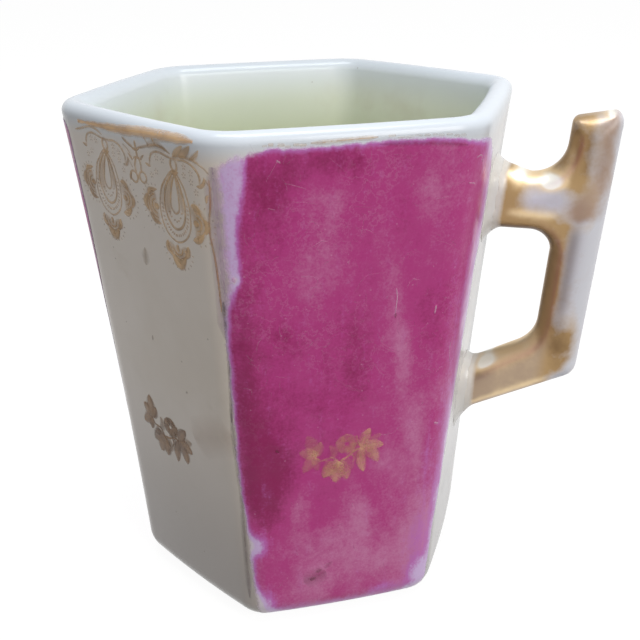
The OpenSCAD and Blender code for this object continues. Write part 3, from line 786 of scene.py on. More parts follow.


# Wear, painted light and painted shade as sums of bells and soft steps over height, distance from the upright, the
# wall, the hole and the outside. keep: the gold that has stayed, less on the upright's outer face, the spur's outer
# half, the upper arm's side, under the elbow and at the roots, and more under the painted highlights. copper: where
# the ground coat shows. tone: painted shade round the finger hole and under the upper arm, dark in the streaks and on
# the elbow, painted reflections bright on the bevels and painted highlights brightest on the crests of the bars. The
# darkening beside the worn face and on the spur is painted shade. root: near the wall.
def handlePaint(p, outside, hole):
    x, z = p[:, 0], p[:, 2]
    out = x - uprightInner(z)[0]
    w = x - wallX(0.0, z)
    fromHole, fromOutside = chainDistance(x, z, hole), chainDistance(x, z, outside)
    lowArm = smooth(z, 55, 50) * smooth(out, 2.5, -0.5)
    stem = smooth(z, 51.5, 60) * smooth(z, 76, 71)
    spur = smooth(z, 81, 84)
    # Painted highlights: spots on the upper arm's top, the spur's top and the lower arm's top-front bevel
    crest = bell(w, 10.2, 1.6) * bell(z, 80.9, 1.3) + 0.7 * bell(w, 4.1, 1.7) * bell(z, 81.9, 1.0)
    crest += bell(out, 6.5, 1.3) * bell(z, 92.9, 0.9) + 0.85 * lowArm * bell(w, 4.2, 1.4) * bell(fromHole, 0.8, 0.75)
    copper = 1.1 * bell(out, 4.4, 2.8) * bell(z, 76.4, 3.0) * smooth(z, 72.8, 74.8)
    copper += 0.8 * smooth(out, 2.8, 6.6) * smooth(z, 77, 82) * smooth(out, 9.8, 6.4)
    keep = 1.0 - 0.75 * np.clip(copper, 0, 1) - 0.12 * spur
    keep -= 0.95 * smooth(out, 1.8, 4.2) * stem
    keep -= 0.9 * smooth(out, 5.8, 8.8) * smooth(z, 43, 47) + 0.3 * smooth(out, 5.0, 8.0) * smooth(z, 69, 76)
    keep -= 0.9 * bell(fromOutside, 1.0, 1.3) * bell(out, 6.0, 2.2) * smooth(z, 48.5, 45.5)
    keep -= 1.0 * bell(z, 78.0, 2.2) * smooth(w, 3.6, 8.4) * smooth(w, 15.5, 11)
    keep -= 1.1 * smooth(w, 3.4, 1.6) + 0.25 * smooth(out, 5.5, 8.0) * spur
    keep += 0.8 * np.clip(crest, 0, 1)
    copper += 0.8 * smooth(z, 55, 50) * smooth(out, 4.2, 0.5) * smooth(fromHole, 0.8, 3.2)
    # Painted light and shade in the tone: highlights on the crests, reflections along the upper arm's top and lower
    # bevels, the spur's top and the lower arm's top, and shade under the upper arm and along the finger hole
    tone = 2.2 * crest + 0.8 * bell(z, 81.6, 1.7) * smooth(w, 3, 5) * smooth(w, 14, 12)
    tone += 0.8 * bell(z, 75.4, 1.0) * smooth(w, 1.6, 6.5) * smooth(w, 14, 10.5)
    tone -= 0.85 * smooth(fromHole, 2.0, 0.8) * smooth(z, 68, 71.5) * smooth(out, 3.0, 0.5)
    tone -= 0.15 * bell(fromHole, 0.7, 0.7) * stem + 0.55 * bell(out, 3.3, 1.9) * bell(z, 53.5, 4.8)
    tone -= 0.45 * bell(out, 5.0, 2.6) * bell(z, 49.0, 4.5)
    tone -= 0.45 * bell(out, 3.9, 1.2) * spur * smooth(z, 92, 89) + 0.3 * bell(out, 1.2, 1.0) * smooth(z, 88.5, 90)
    tone += 0.55 * bell(out, 1.0, 1.0) * spur * smooth(z, 89, 85)
    tone += 0.35 * bell(fromOutside, 0.8, 0.9) * smooth(z, 91, 92.6)
    tone += (0.9 * bell(fromHole, 0.8, 1.6) + 0.2 * smooth(fromHole, 0.6, 0.0)) * lowArm
    # Under the lower arm: a painted reflection along the bevel, with painted shade at the very edge
    underArm = smooth(z, 48, 45) * smooth(out, 5.0, 2.5)
    tone += (0.65 * bell(fromOutside, 1.7, 0.8) - 0.35 * bell(fromOutside, 0.2, 0.6)) * underArm
    # Painted shade beside the worn face of the upright and on the spur
    paintedShade = 1.0 * bell(out, 3.7, 1.15) * stem + 0.3 * bell(out, 5.4, 2.4) * spur * smooth(z, 93, 91)
    return {"keep": keep, "copper": copper, "tone": tone, "paintedShade": paintedShade, "root": smooth(w, 4.2, 2.6)}


# Worn gilding: gold that darkens and brightens with its tone, which carries painted shade, reflections and highlights
# over a random cloud, over a rubbed ground that is pale or coppery, and bare at the roots; painted shade darkens it
# further towards deep gold
def handleGilding():
    material, tree, shader, where = newMaterial("handleGilding")
    left = useGroup(tree, giltLeft, Vector=where, Keep=attributeOf(tree, "keep"), Grain=130.0, Soft=0.8)
    tone = calc(tree, "ADD", attributeOf(tree, "tone"), swing(tree, noise(tree, where, 120, 4, 0.6), 1.4))
    # The tone's painted shade darkens the gold towards deep gold; its painted reflections and highlights brighten it
    # towards bright gold and near white
    gold = fadeTo(tree, tone, 0.0, -1.0, handle["gold"], handle["deepGold"])
    gold = blendColour(tree, spread(tree, attributeOf(tree, "copper"), 0.0, 1.0, 0.0, 0.85), gold, handle["beige"])
    gold = fadeTo(tree, tone, 0.0, 1.0, gold, handle["brightGold"])
    gold = fadeTo(tree, tone, 0.9, 1.9, gold, handle["paintedHighlight"])
    copper = calc(tree, "ADD", attributeOf(tree, "copper"), swing(tree, left["Tone"], 1.2))
    worn = fadeTo(tree, copper, 0.1, 0.9, handle["rubbed"], handle["copper"])
    worn = blendColour(tree, attributeOf(tree, "root"), worn, handle["bareRoot"])
    colour = blendColour(tree, left["Gold"], worn, gold)
    colour = blendColour(tree, calc(tree, "MULTIPLY", attributeOf(tree, "paintedShade"), 0.55), colour, handle["deepGold"])
    tree.links.new(colour, shader.inputs["Base Color"])
    tree.links.new(calc(tree, "MULTIPLY", left["Gold"], 0.92), shader.inputs["Metallic"])
    glazeOver(tree, shader, where, peel=0.15, smear=0.06, least=0.36, bump=0.1, depth=0.0008)
    return material


slipCoat = {"pale": srgb(232, 230, 227), "grey": srgb(222, 218, 213), "dust": srgb(150, 120, 84)}


# Glazed slip: two greys in soft blotches, with a little brown dust
def slipGlaze():
    material, tree, shader, where = newMaterial("slipGlaze")
    blotch = noise(tree, where, 140, 4, 0.6)
    colour = fadeTo(tree, blotch, 0.35, 0.7, slipCoat["pale"], slipCoat["grey"])
    dust = useGroup(tree, specks, Vector=where, Scale=800.0, Size=0.1, Amount=0.12)["Mask"]
    colour = blendColour(tree, calc(tree, "MULTIPLY", dust, 0.25), colour, slipCoat["dust"])
    tree.links.new(colour, shader.inputs["Base Color"])
    glazeOver(tree, shader, where, peel=0.2, smear=0.15, least=0.16, bump=0.15)
    return material


# The handle and its two collars share one field; each collar laps a little way under the handle's end
def makeHandle(slip):
    outside, hole = handleChains()
    depth, lo, hi = outlineDepth(outside, hole)
    side = handle["thick"] / 2 + handle["sideFlare"][0] + 1.0
    start, lap = handle["collar"], handle["lap"]
    beyond, sunk, slimmer = 99.0, -0.15, 0.03  # past the spur, into the wall, and under the handle's skin
    inward, outward, under, above = 1.5, 3.0, 6.5, 5.0  # room round a collar
    box = ((lo[0], hi[0]), (-side, side), (lo[1], hi[1]))
    points, quads = handleStretch(depth, lo, box, handle["cell"], start - lap, beyond, 0.0)
    bars = faceMesh("giltHandle", points, quads, paint=handlePaint(points, outside, hole))
    place(bars, handleGilding(), ["handle"])
    for name, node, root in (("upperCollar", "handle_upper_lute", upperRoot),
                             ("lowerCollar", "handle_lower_lute", lowerRoot)):
        wall = wallX(0.0, np.array(root))
        box = ((wall.min() - inward, wall.max() + outward), (-side, side), (root[1] - under, root[0] + above))
        points, quads = handleStretch(depth, lo, box, handle["collarCell"], sunk, start + lap, slimmer)
        place(faceMesh(name, points, quads), slip, [node])


slip = slipGlaze()
makeHandle(slip)
print("handle: bars, spur and two collars")

guard = {  # mm
    "drop": 8.0, "thick": 3.2, "back": 12.0, "sipHalf": 14.0, "sipDepth": 9.5, "edge": 1.45, "seatLap": 0.2,
    "bead": 1.4, "beadRows": 90, "beadPoints": 7, "beadSink": -0.3, "bevelShare": 0.3, "edgePoints": 13,
    # where the seat starts on the front panel and stops on the handle's, in half panels, and points on each
    "seatSpan": (-0.3, -0.78), "seatPoints": (90, 14), "sipPoints": 24,
}


# Front edge of the right half in plan: a quarter ellipse round the sip opening, then along the inside of the wall, past
# the corner and a short way on to the handle's panel
def guardFront(z):
    seat = cup["wall"] - guard["seatLap"]
    (begin, stop), (onFront, onSide) = guard["seatSpan"], guard["seatPoints"]
    turn = np.pi / 2 * np.linspace(0, 1, guard["sipPoints"])
    wallLine = np.concatenate([onCup(5, np.linspace(begin, 1, onFront), z + np.zeros(onFront), seat),
                               onCup(0, np.linspace(-1, stop, onSide)[1:], z + np.zeros(onSide - 1), seat)])[:, :2]
    start = np.argmin(np.abs(wallLine[:, 0] - guard["sipHalf"]))
    end = wallLine[start]
    sip = np.stack([end[0] * np.sin(turn), end[1] + guard["sipDepth"] * np.cos(turn)], -1)
    return sip, wallLine[start:]


# Each slice runs from the front edge to the straight back edge, with a half round at its free ends, and the slices are
# carried from the left end to the right one
def makeGuard():
    mid = cup["height"] - guard["drop"] - guard["thick"] / 2
    sip, seat = guardFront(np.array(mid))
    half = np.concatenate([sip, seat[1:]])
    front = np.concatenate([half[:0:-1] * [-1, 1], half])
    free = np.concatenate([np.zeros(len(seat) - 1), np.ones(2 * len(sip) - 1), np.zeros(len(seat) - 1)])
    bevel = np.minimum(guard["edge"], (-guard["back"] - front[:, 1]) * guard["bevelShare"])[:, None]
    a = np.linspace(0, np.pi, guard["edgePoints"])[None, :]
    backY = -guard["back"] - bevel * (1 - np.sin(a))
    frontY = front[:, 1:] + (bevel * (1 - np.sin(a))) * free[:, None]
    tall = guard["thick"] / 2 * np.cos(a)
    y = np.concatenate([backY, frontY[:, ::-1]], 1)
    z = np.concatenate([mid + tall + 0 * backY, mid - tall + 0 * backY], 1)
    x = front[:, :1] + 0 * y
    grid = np.stack([x, y, z], -1)
    return gridMesh("moustacheGuard", grid, wrap=True, capFirst=grid[0].mean(0), capLast=grid[-1].mean(0),
                    paint={"inside": np.ones((len(grid), 1)), "bareFoot": np.zeros((len(grid), 1))})


# Bead of slip: a hollow quarter round in the corner between guard and wall, carried along the seat
def makeBeads():
    top = cup["height"] - guard["drop"]
    points, quads, tris = [], [], []
    count, rows = 0, guard["beadRows"]
    a = np.linspace(0, np.pi / 2, guard["beadPoints"])
    b, sunk = guard["bead"], [guard["beadSink"]]
    inset = np.concatenate([b * (1 - np.sin(a)), sunk])
    rise = np.concatenate([b * (1 - np.cos(a)), sunk])
    beadQuads, beadTris = tubeFaces(rows, len(inset))
    for face, way in ((top, 1), (top - guard["thick"], -1)):
        for side in (1, -1):
            lines = []
            for j in range(len(inset)):
                z = np.array(face + way * rise[j])
                seat = guardFront(z)[1]
                inward = -seat / np.linalg.norm(seat, axis=1)[:, None] * (inset[j] + guard["seatLap"])
                along = np.concatenate([seat + inward, np.full((len(seat), 1), z)], 1)
                even, known = np.linspace(0, 1, rows), np.linspace(0, 1, len(seat))
                lines.append(np.stack([np.interp(even, known, values) for values in along.T], -1))
            grid = np.stack(lines, 1) * [side, 1, 1]
            if side * way > 0:
                grid = grid[:, ::-1]
            quads.append(count + beadQuads)
            tris.append(count + beadTris)
            points.append(grid.reshape(-1, 3))
            count += rows * len(inset)
    return faceMesh("guardBeads", np.concatenate(points), np.concatenate(quads), np.concatenate(tris))


place(makeGuard(), porcelain, ["moustache_guard"])
place(makeBeads(), slip, ["guard_lute"])
print("guard: plate and seat beads")

gilt = {
    "crown": 0.05, "sink": 0.06, "stack": 0.004, "level": 93.0, "trefoil": 2.9, "linePlump": 1.35, "seed": 31,
    "dashLift": 0.03, "scuffs": ((190, 50, 91), (24, 6, 50)),  # scuffs: how many, and between which heights
    # each pendant: s, how far above the level, height and strength as shares, and whether it has flame leaves
    "pendants": ((12.0, 0.0, 1.0, 1.0, True), (-6.5, 0.3, 0.97, 0.9, False)),
    "sprayCream": (-2.05, 34.9), "sprayTurn": -19.4, "sprayLustre": (0.0, 36.5),
}


# Even steps along a smooth line through a few points: a cubic between neighbours, its slopes taken from the points
# either side
def smoothLine(points, count, closed=False):
    p = np.asarray(points, float)
    if closed:
        p = np.concatenate([p[-1:], p, p[:2]])
    else:
        p = np.concatenate([[2 * p[0] - p[1]], p, [2 * p[-1] - p[-2]]])
    f = np.linspace(0, len(p) - 3 - 1e-9, count, endpoint=not closed)
    i = f.astype(int)
    f = (f - i)[:, None]
    a, b, c, d = p[i], p[i + 1], p[i + 2], p[i + 3]
    return 0.5 * (2 * b + (c - a) * f + (2 * a - 5 * b + 4 * c - d) * f ** 2 + (3 * b - a - 3 * c + d) * f ** 3)


# The strokes of the brush: each gives a path, its half widths, how strongly it lies and whether it closes. A line is
# even, with short tapered ends.
def line(points, width, lay=0.75, count=30):
    f = np.linspace(0, 1, count)
    half = gilt["linePlump"] * width / 2 * np.minimum(1, 0.3 + 6 * np.minimum(f, 1 - f))
    return smoothLine(points, count), half, lay, False


# Even, and closed on itself
def loop(points, width, lay=0.75, count=48):
    return smoothLine(points, count, True), np.full(count, gilt["linePlump"] * width / 2), lay, True


# Nothing at both tips, and fullest near the middle: a power of a half wave
def leaf(points, width, lay=1.0, count=14, sharp=0.7):
    f = np.linspace(0, 1, count) ** 0.85
    return smoothLine(points, count), np.maximum(width / 2 * np.sin(np.pi * f) ** sharp, 0.02), lay, False


# A short leaf about a point
def dot(x, y, size, angle, lay):
    way = np.array([np.cos(angle), np.sin(angle)]) * size / 2
    return leaf([np.array([x, y]) - way, np.array([x, y]) + way], size * 0.75, lay, 6, 0.5)


# Twelve points round an ellipse
def ellipse(x, y, rx, ry):
    a = np.arange(12) * np.pi / 6
    return np.stack([x + rx * np.cos(a), y + ry * np.sin(a)], -1)


# Nine points along an arc between two angles
def arcLine(x, y, r, lo, hi):
    a = np.radians(np.linspace(lo, hi, 9))
    return np.stack([x + r * np.cos(a), y + r * np.sin(a)], -1)


# Knob, two fine arcs and a ring of dashes that open towards an angle
def palmetteHeart(x, y, toward, knob, dashes, reach):
    dx, dy = np.cos(np.radians(toward)), np.sin(np.radians(toward))
    strokes = [leaf([(x - 0.6 * dx, y - 0.6 * dy), (x + 0.7 * dx, y + 0.7 * dy)], knob, 0.85, 12, 0.5)]
    strokes += [line(arcLine(x, y, r, toward - 88, toward + 88), 0.3, 0.8, 18) for r in (1.2, 2.0)]
    for a in np.linspace(toward - reach, toward + reach, dashes):
        c, s = np.cos(np.radians(a)), np.sin(np.radians(a))
        strokes.append(dot(x + 3.65 * c, y + 3.65 * s, 0.46, np.radians(a), 0.45))
    return strokes


# One hanging drop of the lace border, measured from the gold line: nested drops with beaded gaps between them, a knot,
# scrolls and flame leaves above, and three palmettes washed with thin gold. It leans a little, as it was laid by hand.
def pendant(flames):
    inner = smoothLine([(0.4, -5.5), (-0.5, -6.9), (-1.15, -8.5), (-1.55, -10.2), (-1.45, -11.1), (-0.75, -11.75),
                        (0.15, -11.3), (0.5, -10.2), (0.65, -8.5), (0.65, -6.9)], 64, True)
    middle = smoothLine([(0.2, -5.1), (-0.95, -6.0), (-2.3, -7.8), (-3.05, -9.6), (-3.25, -11.3), (-2.75, -13.1),
                         (-1.8, -14.2), (-0.85, -14.4), (0.3, -13.9), (1.2, -12.8), (1.68, -11.5), (1.85, -9.6),
                         (1.6, -7.9), (1.05, -6.0)], 80, True)
    outer = smoothLine([(0.3, -4.7), (-1.9, -6.3), (-3.4, -8.0), (-4.4, -10.5), (-4.65, -12.3), (-4.4, -14.1),
                        (-3.6, -15.5), (-2.55, -16.3), (-1.45, -16.65), (-0.2, -16.4), (1.2, -15.5), (2.3, -14.1),
                        (2.8, -12.4), (2.95, -10.5), (2.7, -8.6), (2.1, -6.6)], 96, True)
    strokes = [  # washes first, then the lines
        leaf([(-0.2, -5.6), (-1.6, -8.0), (-2.4, -10.2), (-2.2, -12.4)], 2.0, 0.4, 24, 0.4),
        leaf([(0.9, -5.8), (1.3, -8.3), (1.1, -11.6)], 1.2, 0.36, 24, 0.4),
        leaf([(-1.5, -6.3), (-3.3, -8.9), (-3.9, -11.8)], 1.3, 0.22, 20, 0.4),
        leaf([(-5.9, -8.5), (-7.0, -11.4), (-5.8, -14.5)], 3.8, 0.42, 20, 0.5),
        leaf([(3.7, -9.4), (5.0, -12.3), (3.9, -15.6)], 3.6, 0.46, 20, 0.5),
        leaf([(-4.1, -17.2), (-1.7, -19.3), (1.1, -17.2)], 3.2, 0.42, 20, 0.5),
        (inner, np.full(64, 0.26), 0.6, True), (middle, np.full(80, 0.3), 0.68, True),
        (outer, np.full(96, 0.24), 0.6, True),
        loop(ellipse(0.7, -3.7, 0.72, 0.98), 0.52, 0.6), leaf([(-0.3, -4.95), (0.65, -5.05), (1.6, -4.75)], 1.1, 0.8),
        line([(0.9, -2.7), (2.1, -2.75), (3.4, -2.65), (4.8, -3.0), (5.85, -3.9), (6.25, -4.9), (6.05, -5.9)],
             0.42, 0.6),
        leaf([(5.4, -6.25), (6.2, -6.25), (6.9, -5.6), (7.05, -4.8)], 0.9, 0.75),
        line([(6.2, -2.7), (7.3, -3.35), (8.0, -4.15)], 0.28, 0.5),
        line([(7.0, -4.7), (7.6, -5.7), (8.1, -6.5)], 0.26, 0.5),
        leaf([(6.8, -8.8), (7.0, -7.9), (7.5, -7.4)], 0.8, 0.6),
        line([(0.4, -2.75), (-0.6, -2.6), (-2.0, -2.3), (-3.25, -2.25), (-4.5, -2.7), (-5.2, -3.55), (-5.5, -4.7)],
             0.44, 0.6),
        leaf([(-5.3, -4.9), (-6.0, -4.75), (-6.7, -4.5)], 0.7, 0.7),
        line([(-8.4, -2.4), (-6.6, -2.0), (-4.9, -1.55), (-3.1, -1.2), (-1.3, -1.4), (0.3, -2.1)], 0.46, 0.6),
        leaf([(-7.4, -9.7), (-6.65, -8.95), (-4.7, -8.5)], 1.3, 0.75),
        leaf([(-7.3, -9.6), (-8.45, -11.2), (-7.85, -12.7)], 1.6, 0.75),
        leaf([(-7.6, -12.8), (-6.65, -14.05), (-5.0, -14.35)], 1.3, 0.7),
        leaf([(3.4, -9.6), (4.6, -9.85), (5.45, -10.95)], 1.4, 0.75),
        leaf([(5.95, -11.5), (6.4, -12.65), (5.8, -14.0)], 1.4, 0.75),
        leaf([(2.7, -15.45), (4.1, -15.2), (5.45, -14.1)], 1.6, 0.8),
        leaf([(-3.95, -16.8), (-4.35, -18.2), (-3.3, -19.4)], 1.3, 0.75),
        leaf([(1.15, -16.9), (0.85, -18.2), (-0.05, -19.3)], 1.4, 0.75),
        leaf([(-3.3, -19.2), (-1.65, -20.6), (0.1, -19.1)], 2.3, 0.95, 18, 0.6),
    ]
    if flames:
        strokes += [leaf([(-5.4, -1.7), (-3.2, -1.0), (-0.6, -1.7)], 1.9, 0.34, 30, 0.4),
                    line([(-4.9, -1.6), (-5.4, -1.0), (-5.9, -0.3)], 0.34, 0.45, 10),
                    line([(-2.9, -1.4), (-3.4, -0.8), (-3.9, -0.1)], 0.34, 0.45, 10),
                    leaf([(0.7, -2.4), (2.2, -1.4), (3.6, -0.35)], 1.5, 0.7),
                    leaf([(2.2, -2.2), (4.0, -1.3), (5.3, -0.15)], 1.8, 0.7),
                    leaf([(4.8, -2.3), (6.0, -1.6), (6.9, -0.6)], 1.1, 0.6),
                    line([(0.7, -2.4), (3.0, -2.1), (5.2, -2.25), (6.5, -2.7)], 0.55, 0.5)]
    between = (middle[np.linspace(0, 79, 40).astype(int)] + outer[np.linspace(0, 95, 40).astype(int)]) / 2
    for (x, y), (nx, ny) in zip(between[9:33], between[10:34]):
        strokes.append(dot(x, y, 0.55, np.arctan2(ny - y, nx - x) + 1.1, 0.6))
    for x, y in ((-2.3, -11.75), (-1.9, -12.45), (-1.25, -12.9), (-0.7, -13.1), (-0.2, -12.85), (0.35, -12.3),
                 (0.8, -11.5)):
        strokes.append(dot(x, y, 0.52, 0.3, 0.6))
    strokes += palmetteHeart(-5.5, -11.45, 180, 1.4, 14, 98) + palmetteHeart(4.0, -12.5, 0, 1.5, 11, 84)
    strokes += palmetteHeart(-1.65, -17.75, -90, 1.0, 11, 80)
    for x, y in ((-3.4, -3.2), (-2.0, -3.4), (-4.0, -5.5), (-5.4, -6.3), (3.2, -3.6), (4.6, -4.4), (4.4, -5.8),
                 (5.2, -7.3), (2.9, -5.0)):
        strokes += [dot(x + 0.36 * np.cos(a), y + 0.4 * np.sin(a), 0.4, a, 0.45) for a in (0.4, 1.7, 2.9, 4.1, 5.3)]
    return strokes


# Small drop between two pendants: a leafy stem, two rings and the ends of the festoons
def trefoil():
    return [
        leaf([(0.45, -1.2), (0.4, -2.0), (0.35, -2.9)], 0.75), leaf([(-0.7, -2.6), (0.35, -2.75), (1.5, -2.4)], 0.7),
        leaf([(0.4, -2.6), (0.45, -3.4), (0.5, -4.3)], 0.7, 0.9), line([(-0.4, -2.5), (-1.8, -1.9), (-3.0, -1.2)], 0.5),
        line([(0.2, -3.8), (-0.65, -5.4), (-0.6, -6.7)], 0.44), line([(0.75, -3.8), (1.05, -5.1), (0.8, -6.4)], 0.44),
        loop(ellipse(-1.4, -7.4, 0.95, 0.95), 0.42), loop(ellipse(1.1, -7.15, 0.88, 0.92), 0.42),
        leaf([(-0.2, -6.7), (-0.15, -7.9)], 0.5, 0.8), leaf([(-1.0, -4.7), (-1.5, -4.1), (-2.1, -3.6)], 0.65, 0.8),
        leaf([(1.2, -4.3), (1.7, -3.8), (2.4, -3.3)], 0.65, 0.8),
        leaf([(-1.0, -4.4), (0.1, -4.0), (1.3, -4.2)], 0.6, 0.6),
    ]


# Spray: a five-fingered leaf, a three-lobed leaf, a round flower and a leaf that has almost gone, on one stem
def spray(strong, faint, plump):
    def fingers(foot, tips, lay):
        return [leaf([foot, bend, tip], wide * plump, lay, 16, 0.55) for tip, bend, wide in tips]

    strokes = fingers((2.9, 1.1), (((4.5, 4.9), (3.5, 3.0), 1.5), ((7.1, 1.0), (5.2, 1.3), 1.5),
                                   ((6.2, -2.5), (5.0, -0.4), 1.6), ((3.5, -4.2), (3.0, -1.8), 1.3)), strong)
    strokes += fingers((-0.9, -1.3), (((-3.9, -4.3), (-2.7, -2.6), 1.9), ((-1.6, -5.7), (-1.4, -3.4), 2.0),
                                      ((0.5, -5.3), (0.0, -3.4), 1.6)), strong)
    strokes += [line([(-0.9, -1.2), (0.6, -0.4), (1.6, 0.5), (2.9, 1.1)], 0.42, strong),
                line([(1.2, 0.0), (1.7, -0.9), (1.5, -1.9)], 0.3, strong, 12),
                line([(2.9, 1.1), (2.4, 2.4), (2.0, 3.8)], 0.36, strong, 12)]
    for a in np.radians(np.arange(5) * 72 + 20):
        dx, dy = np.cos(a), np.sin(a)
        petal = [(0.3 + 0.3 * dx, 2.3 + 0.3 * dy), (0.3 + 2.1 * dx, 2.3 + 2.1 * dy)]
        strokes.append(leaf(petal, 1.8 * plump, faint, 10, 0.5))
    strokes.append(line([(-0.9, -1.2), (-2.4, -0.3), (-4.2, -0.6), (-5.3, 0.2)], 0.4, faint))
    for way in (((1.5, 0.4), (2.6, -0.7), (2.2, -2.4)), ((0.2, 0.0), (1.6, 1.3), (1.5, 3.0)),
                ((-2.4, -0.4), (-1.9, 1.0), (-2.8, 2.4)), ((-3.4, -0.6), (-3.0, -1.9), (-3.9, -2.9)),
                ((3.6, 1.4), (5.2, 2.5), (6.6, 3.4)), ((-0.9, -1.0), (0.9, -1.9), (1.4, -3.4))):
        strokes.append(leaf(way, 1.1 * plump, 0.6 * (strong + faint) / 2, 12, 0.55))
    strokes += fingers((-5.2, 0.3), (((-6.7, 5.0), (-5.9, 2.8), 1.7), ((-8.2, 1.8), (-6.6, 1.2), 1.6),
                                     ((-7.5, -2.6), (-6.2, -0.8), 1.7), ((-4.4, 3.4), (-4.7, 1.8), 1.3),
                                     ((-4.9, -2.6), (-5.2, -1.2), 1.2)), faint)
    return strokes


# The same strokes turned about the middle
def turned(strokes, degrees):
    c, s = np.cos(np.radians(degrees)), np.sin(np.radians(degrees))
    return [(path @ np.array([[c, s], [-s, c]]), half, lay, closed) for path, half, lay, closed in strokes]


# Strokes set on panel k. Each is a low closed bead: five points over its crown and one under the glaze, at right angles
# to the path, so s and z move off the path by the half width and the lift follows the crown.
def strokeMesh(name, k, sets, base=0.0, shoulder=0.72):
    across = np.array([1.0, 0.6, 0.0, -0.6, -1.0, 0.0])
    crown = np.array([-0.3, 0.8, 1.0, 0.8, -0.3, 0.0]) * gilt["crown"]
    crown[5] = -gilt["sink"]
    fade = np.array([0.0, shoulder, 1.0, shoulder, 0.0, 1.0])  # the colour thins out to the sides
    points, quads, tris, lays = [], [], [], []
    count = 0
    for strokes, (s0, z0), tall, share in sets:
        for number, (path, half, lay, closed) in enumerate(strokes):
            rows = len(path)
            joined = np.concatenate([path[-1:], path, path[:1]]) if closed else path
            way = np.gradient(joined, axis=0)[1:-1] if closed else np.gradient(joined, axis=0)
            side = np.stack([-way[:, 1], way[:, 0]], -1) / np.maximum(np.linalg.norm(way, axis=1), 1e-6)[:, None]
            flat = path[:, None, :] + side[:, None, :] * (half[:, None] * across)[..., None]
            lift = base + crown + gilt["stack"] * (number % 4) + 0 * flat[..., 0]  # neighbours never lie level
            points.append(onPanel(k, flat[..., 0] + s0, flat[..., 1] * tall + z0, lift).reshape(-1, 3))
            lays.append((lay * share * fade + np.zeros((rows, 1))).ravel())
            strokeQuads, strokeTris = tubeFaces(rows, len(across), closed)
            quads.append(count + strokeQuads)
            tris.append(count + strokeTris)
            count += rows * len(across)
    points, quads, tris, lays = (np.concatenate(parts) for parts in (points, quads, tris, lays))
    return faceMesh(name, points, quads, tris, paint={"lay": lays})


# Colour laid thin over the glaze: two tones in fine clouds, see-through where it lies weakly or has rubbed off
def brushedOn(name, pale, deep, metal, keep):
    material, tree, shader, where = newMaterial(name)
    left = useGroup(tree, giltLeft, Vector=where, Keep=keep, Grain=420.0, Soft=0.5)
    tone = noise(tree, where, 260, 3, 0.6)
    tree.links.new(fadeTo(tree, tone, 0.35, 0.68, pale, deep), shader.inputs["Base Color"])
    tree.links.new(calc(tree, "MULTIPLY", left["Gold"], attributeOf(tree, "lay")), shader.inputs["Alpha"])
    shader.inputs["Metallic"].default_value = metal
    glazeOver(tree, shader, where, peel=0.3, smear=0.2, least=0.28, bump=0.2, depth=0.0004)
    return material


paints = {  # pale and deep colour, how metallic, how much has stayed
    "giltOnCream": (srgb(220, 184, 138), srgb(184, 148, 106), 0.15, 0.76),
    "giltBand": (srgb(238, 190, 128), srgb(214, 164, 106), 0.25, 0.8),
    "giltSpray": (srgb(158, 120, 80), srgb(122, 88, 56), 0.15, 0.78),
    "giltOnLustre": (srgb(222, 182, 138), srgb(196, 142, 114), 0.3, 0.58),
    "giltDashes": (srgb(208, 176, 136), srgb(178, 146, 118), 0.15, 0.72),
    "threadColour": (srgb(176, 128, 92), srgb(184, 148, 106), 0.1, 0.7),
    # The next two paints are painted shade along the corners
    "upperShade": (srgb(176, 148, 182), srgb(152, 126, 156), 0.0, 0.8),
    "shadeColour": (srgb(98, 78, 92), srgb(92, 78, 72), 0.0, 0.72),
    "scuffColour": (srgb(232, 196, 220), srgb(214, 160, 196), 0.0, 0.7),
    "soilColour": (srgb(176, 148, 114), srgb(150, 122, 90), 0.0, 0.74),
    "redSoil": (srgb(112, 52, 62), srgb(92, 44, 50), 0.0, 0.74),
}
painted = {name: brushedOn(name, *values) for name, values in paints.items()}


# One set of strokes on panel k, as a film of a paint on what lies base above the glaze
def paintOn(name, k, strokes, paint, base=0.0, shoulder=0.72, at=(0, 0)):
    place(strokeMesh(name, k, [(strokes, at, 1.0, 1.0)], base, shoulder), painted[paint], film=True)


# Gold line under the lip of a cream panel: it rises from left to right and thins out at both ends
def lipBand():
    path = smoothLine([(-13.4, 92.65), (-11, 92.72), (-6.5, 92.85), (0, 93.05), (5, 93.45), (10, 93.6), (15, 93.7),
                       (18.0, 93.65)], 90)
    s = path[:, 0]
    half = 0.34 + 0.56 * smooth(s, -13, 4) * smooth(s, 18.5, 14) + 0.05 * np.sin(s * 1.3) + 0.04 * np.sin(s * 3.1 + 1)
    return [(path - [0, 0.1], half * 1.25, 0.75, False)]


# Worn remains of the same line along the top edge of the lustre: one long faint run, then dashes one after another
def lipDashes(rng):
    def trace(lo, hi, up, wide, lay, count):
        s = np.linspace(lo, hi, 5)
        z = lustre["top"] + np.interp(s, *lustre["topEdge"]) + up
        return line(np.stack([s, z], -1), wide, lay, count)

    runs = [trace(-6.5, 3.8, 0.0, 0.6, 0.6, 40)]
    for lo, hi, count, faint, strong in ((-14, -7, 6, 0.2, 0.5), (5, 11, 4, 0.1, 0.25), (11, 18, 6, 0.15, 0.35)):
        step = (hi - lo) / count
        start = lo + step * (np.arange(count) + rng.uniform(0, 0.3, count))
        drawn = zip(start, start + step * rng.uniform(0.68, 0.95, count), rng.normal(-0.1, 0.1, count),
                    rng.uniform(0.25, 0.5, count), rng.uniform(faint, strong, count))
        runs += [trace(*values, 10) for values in drawn]
    return runs


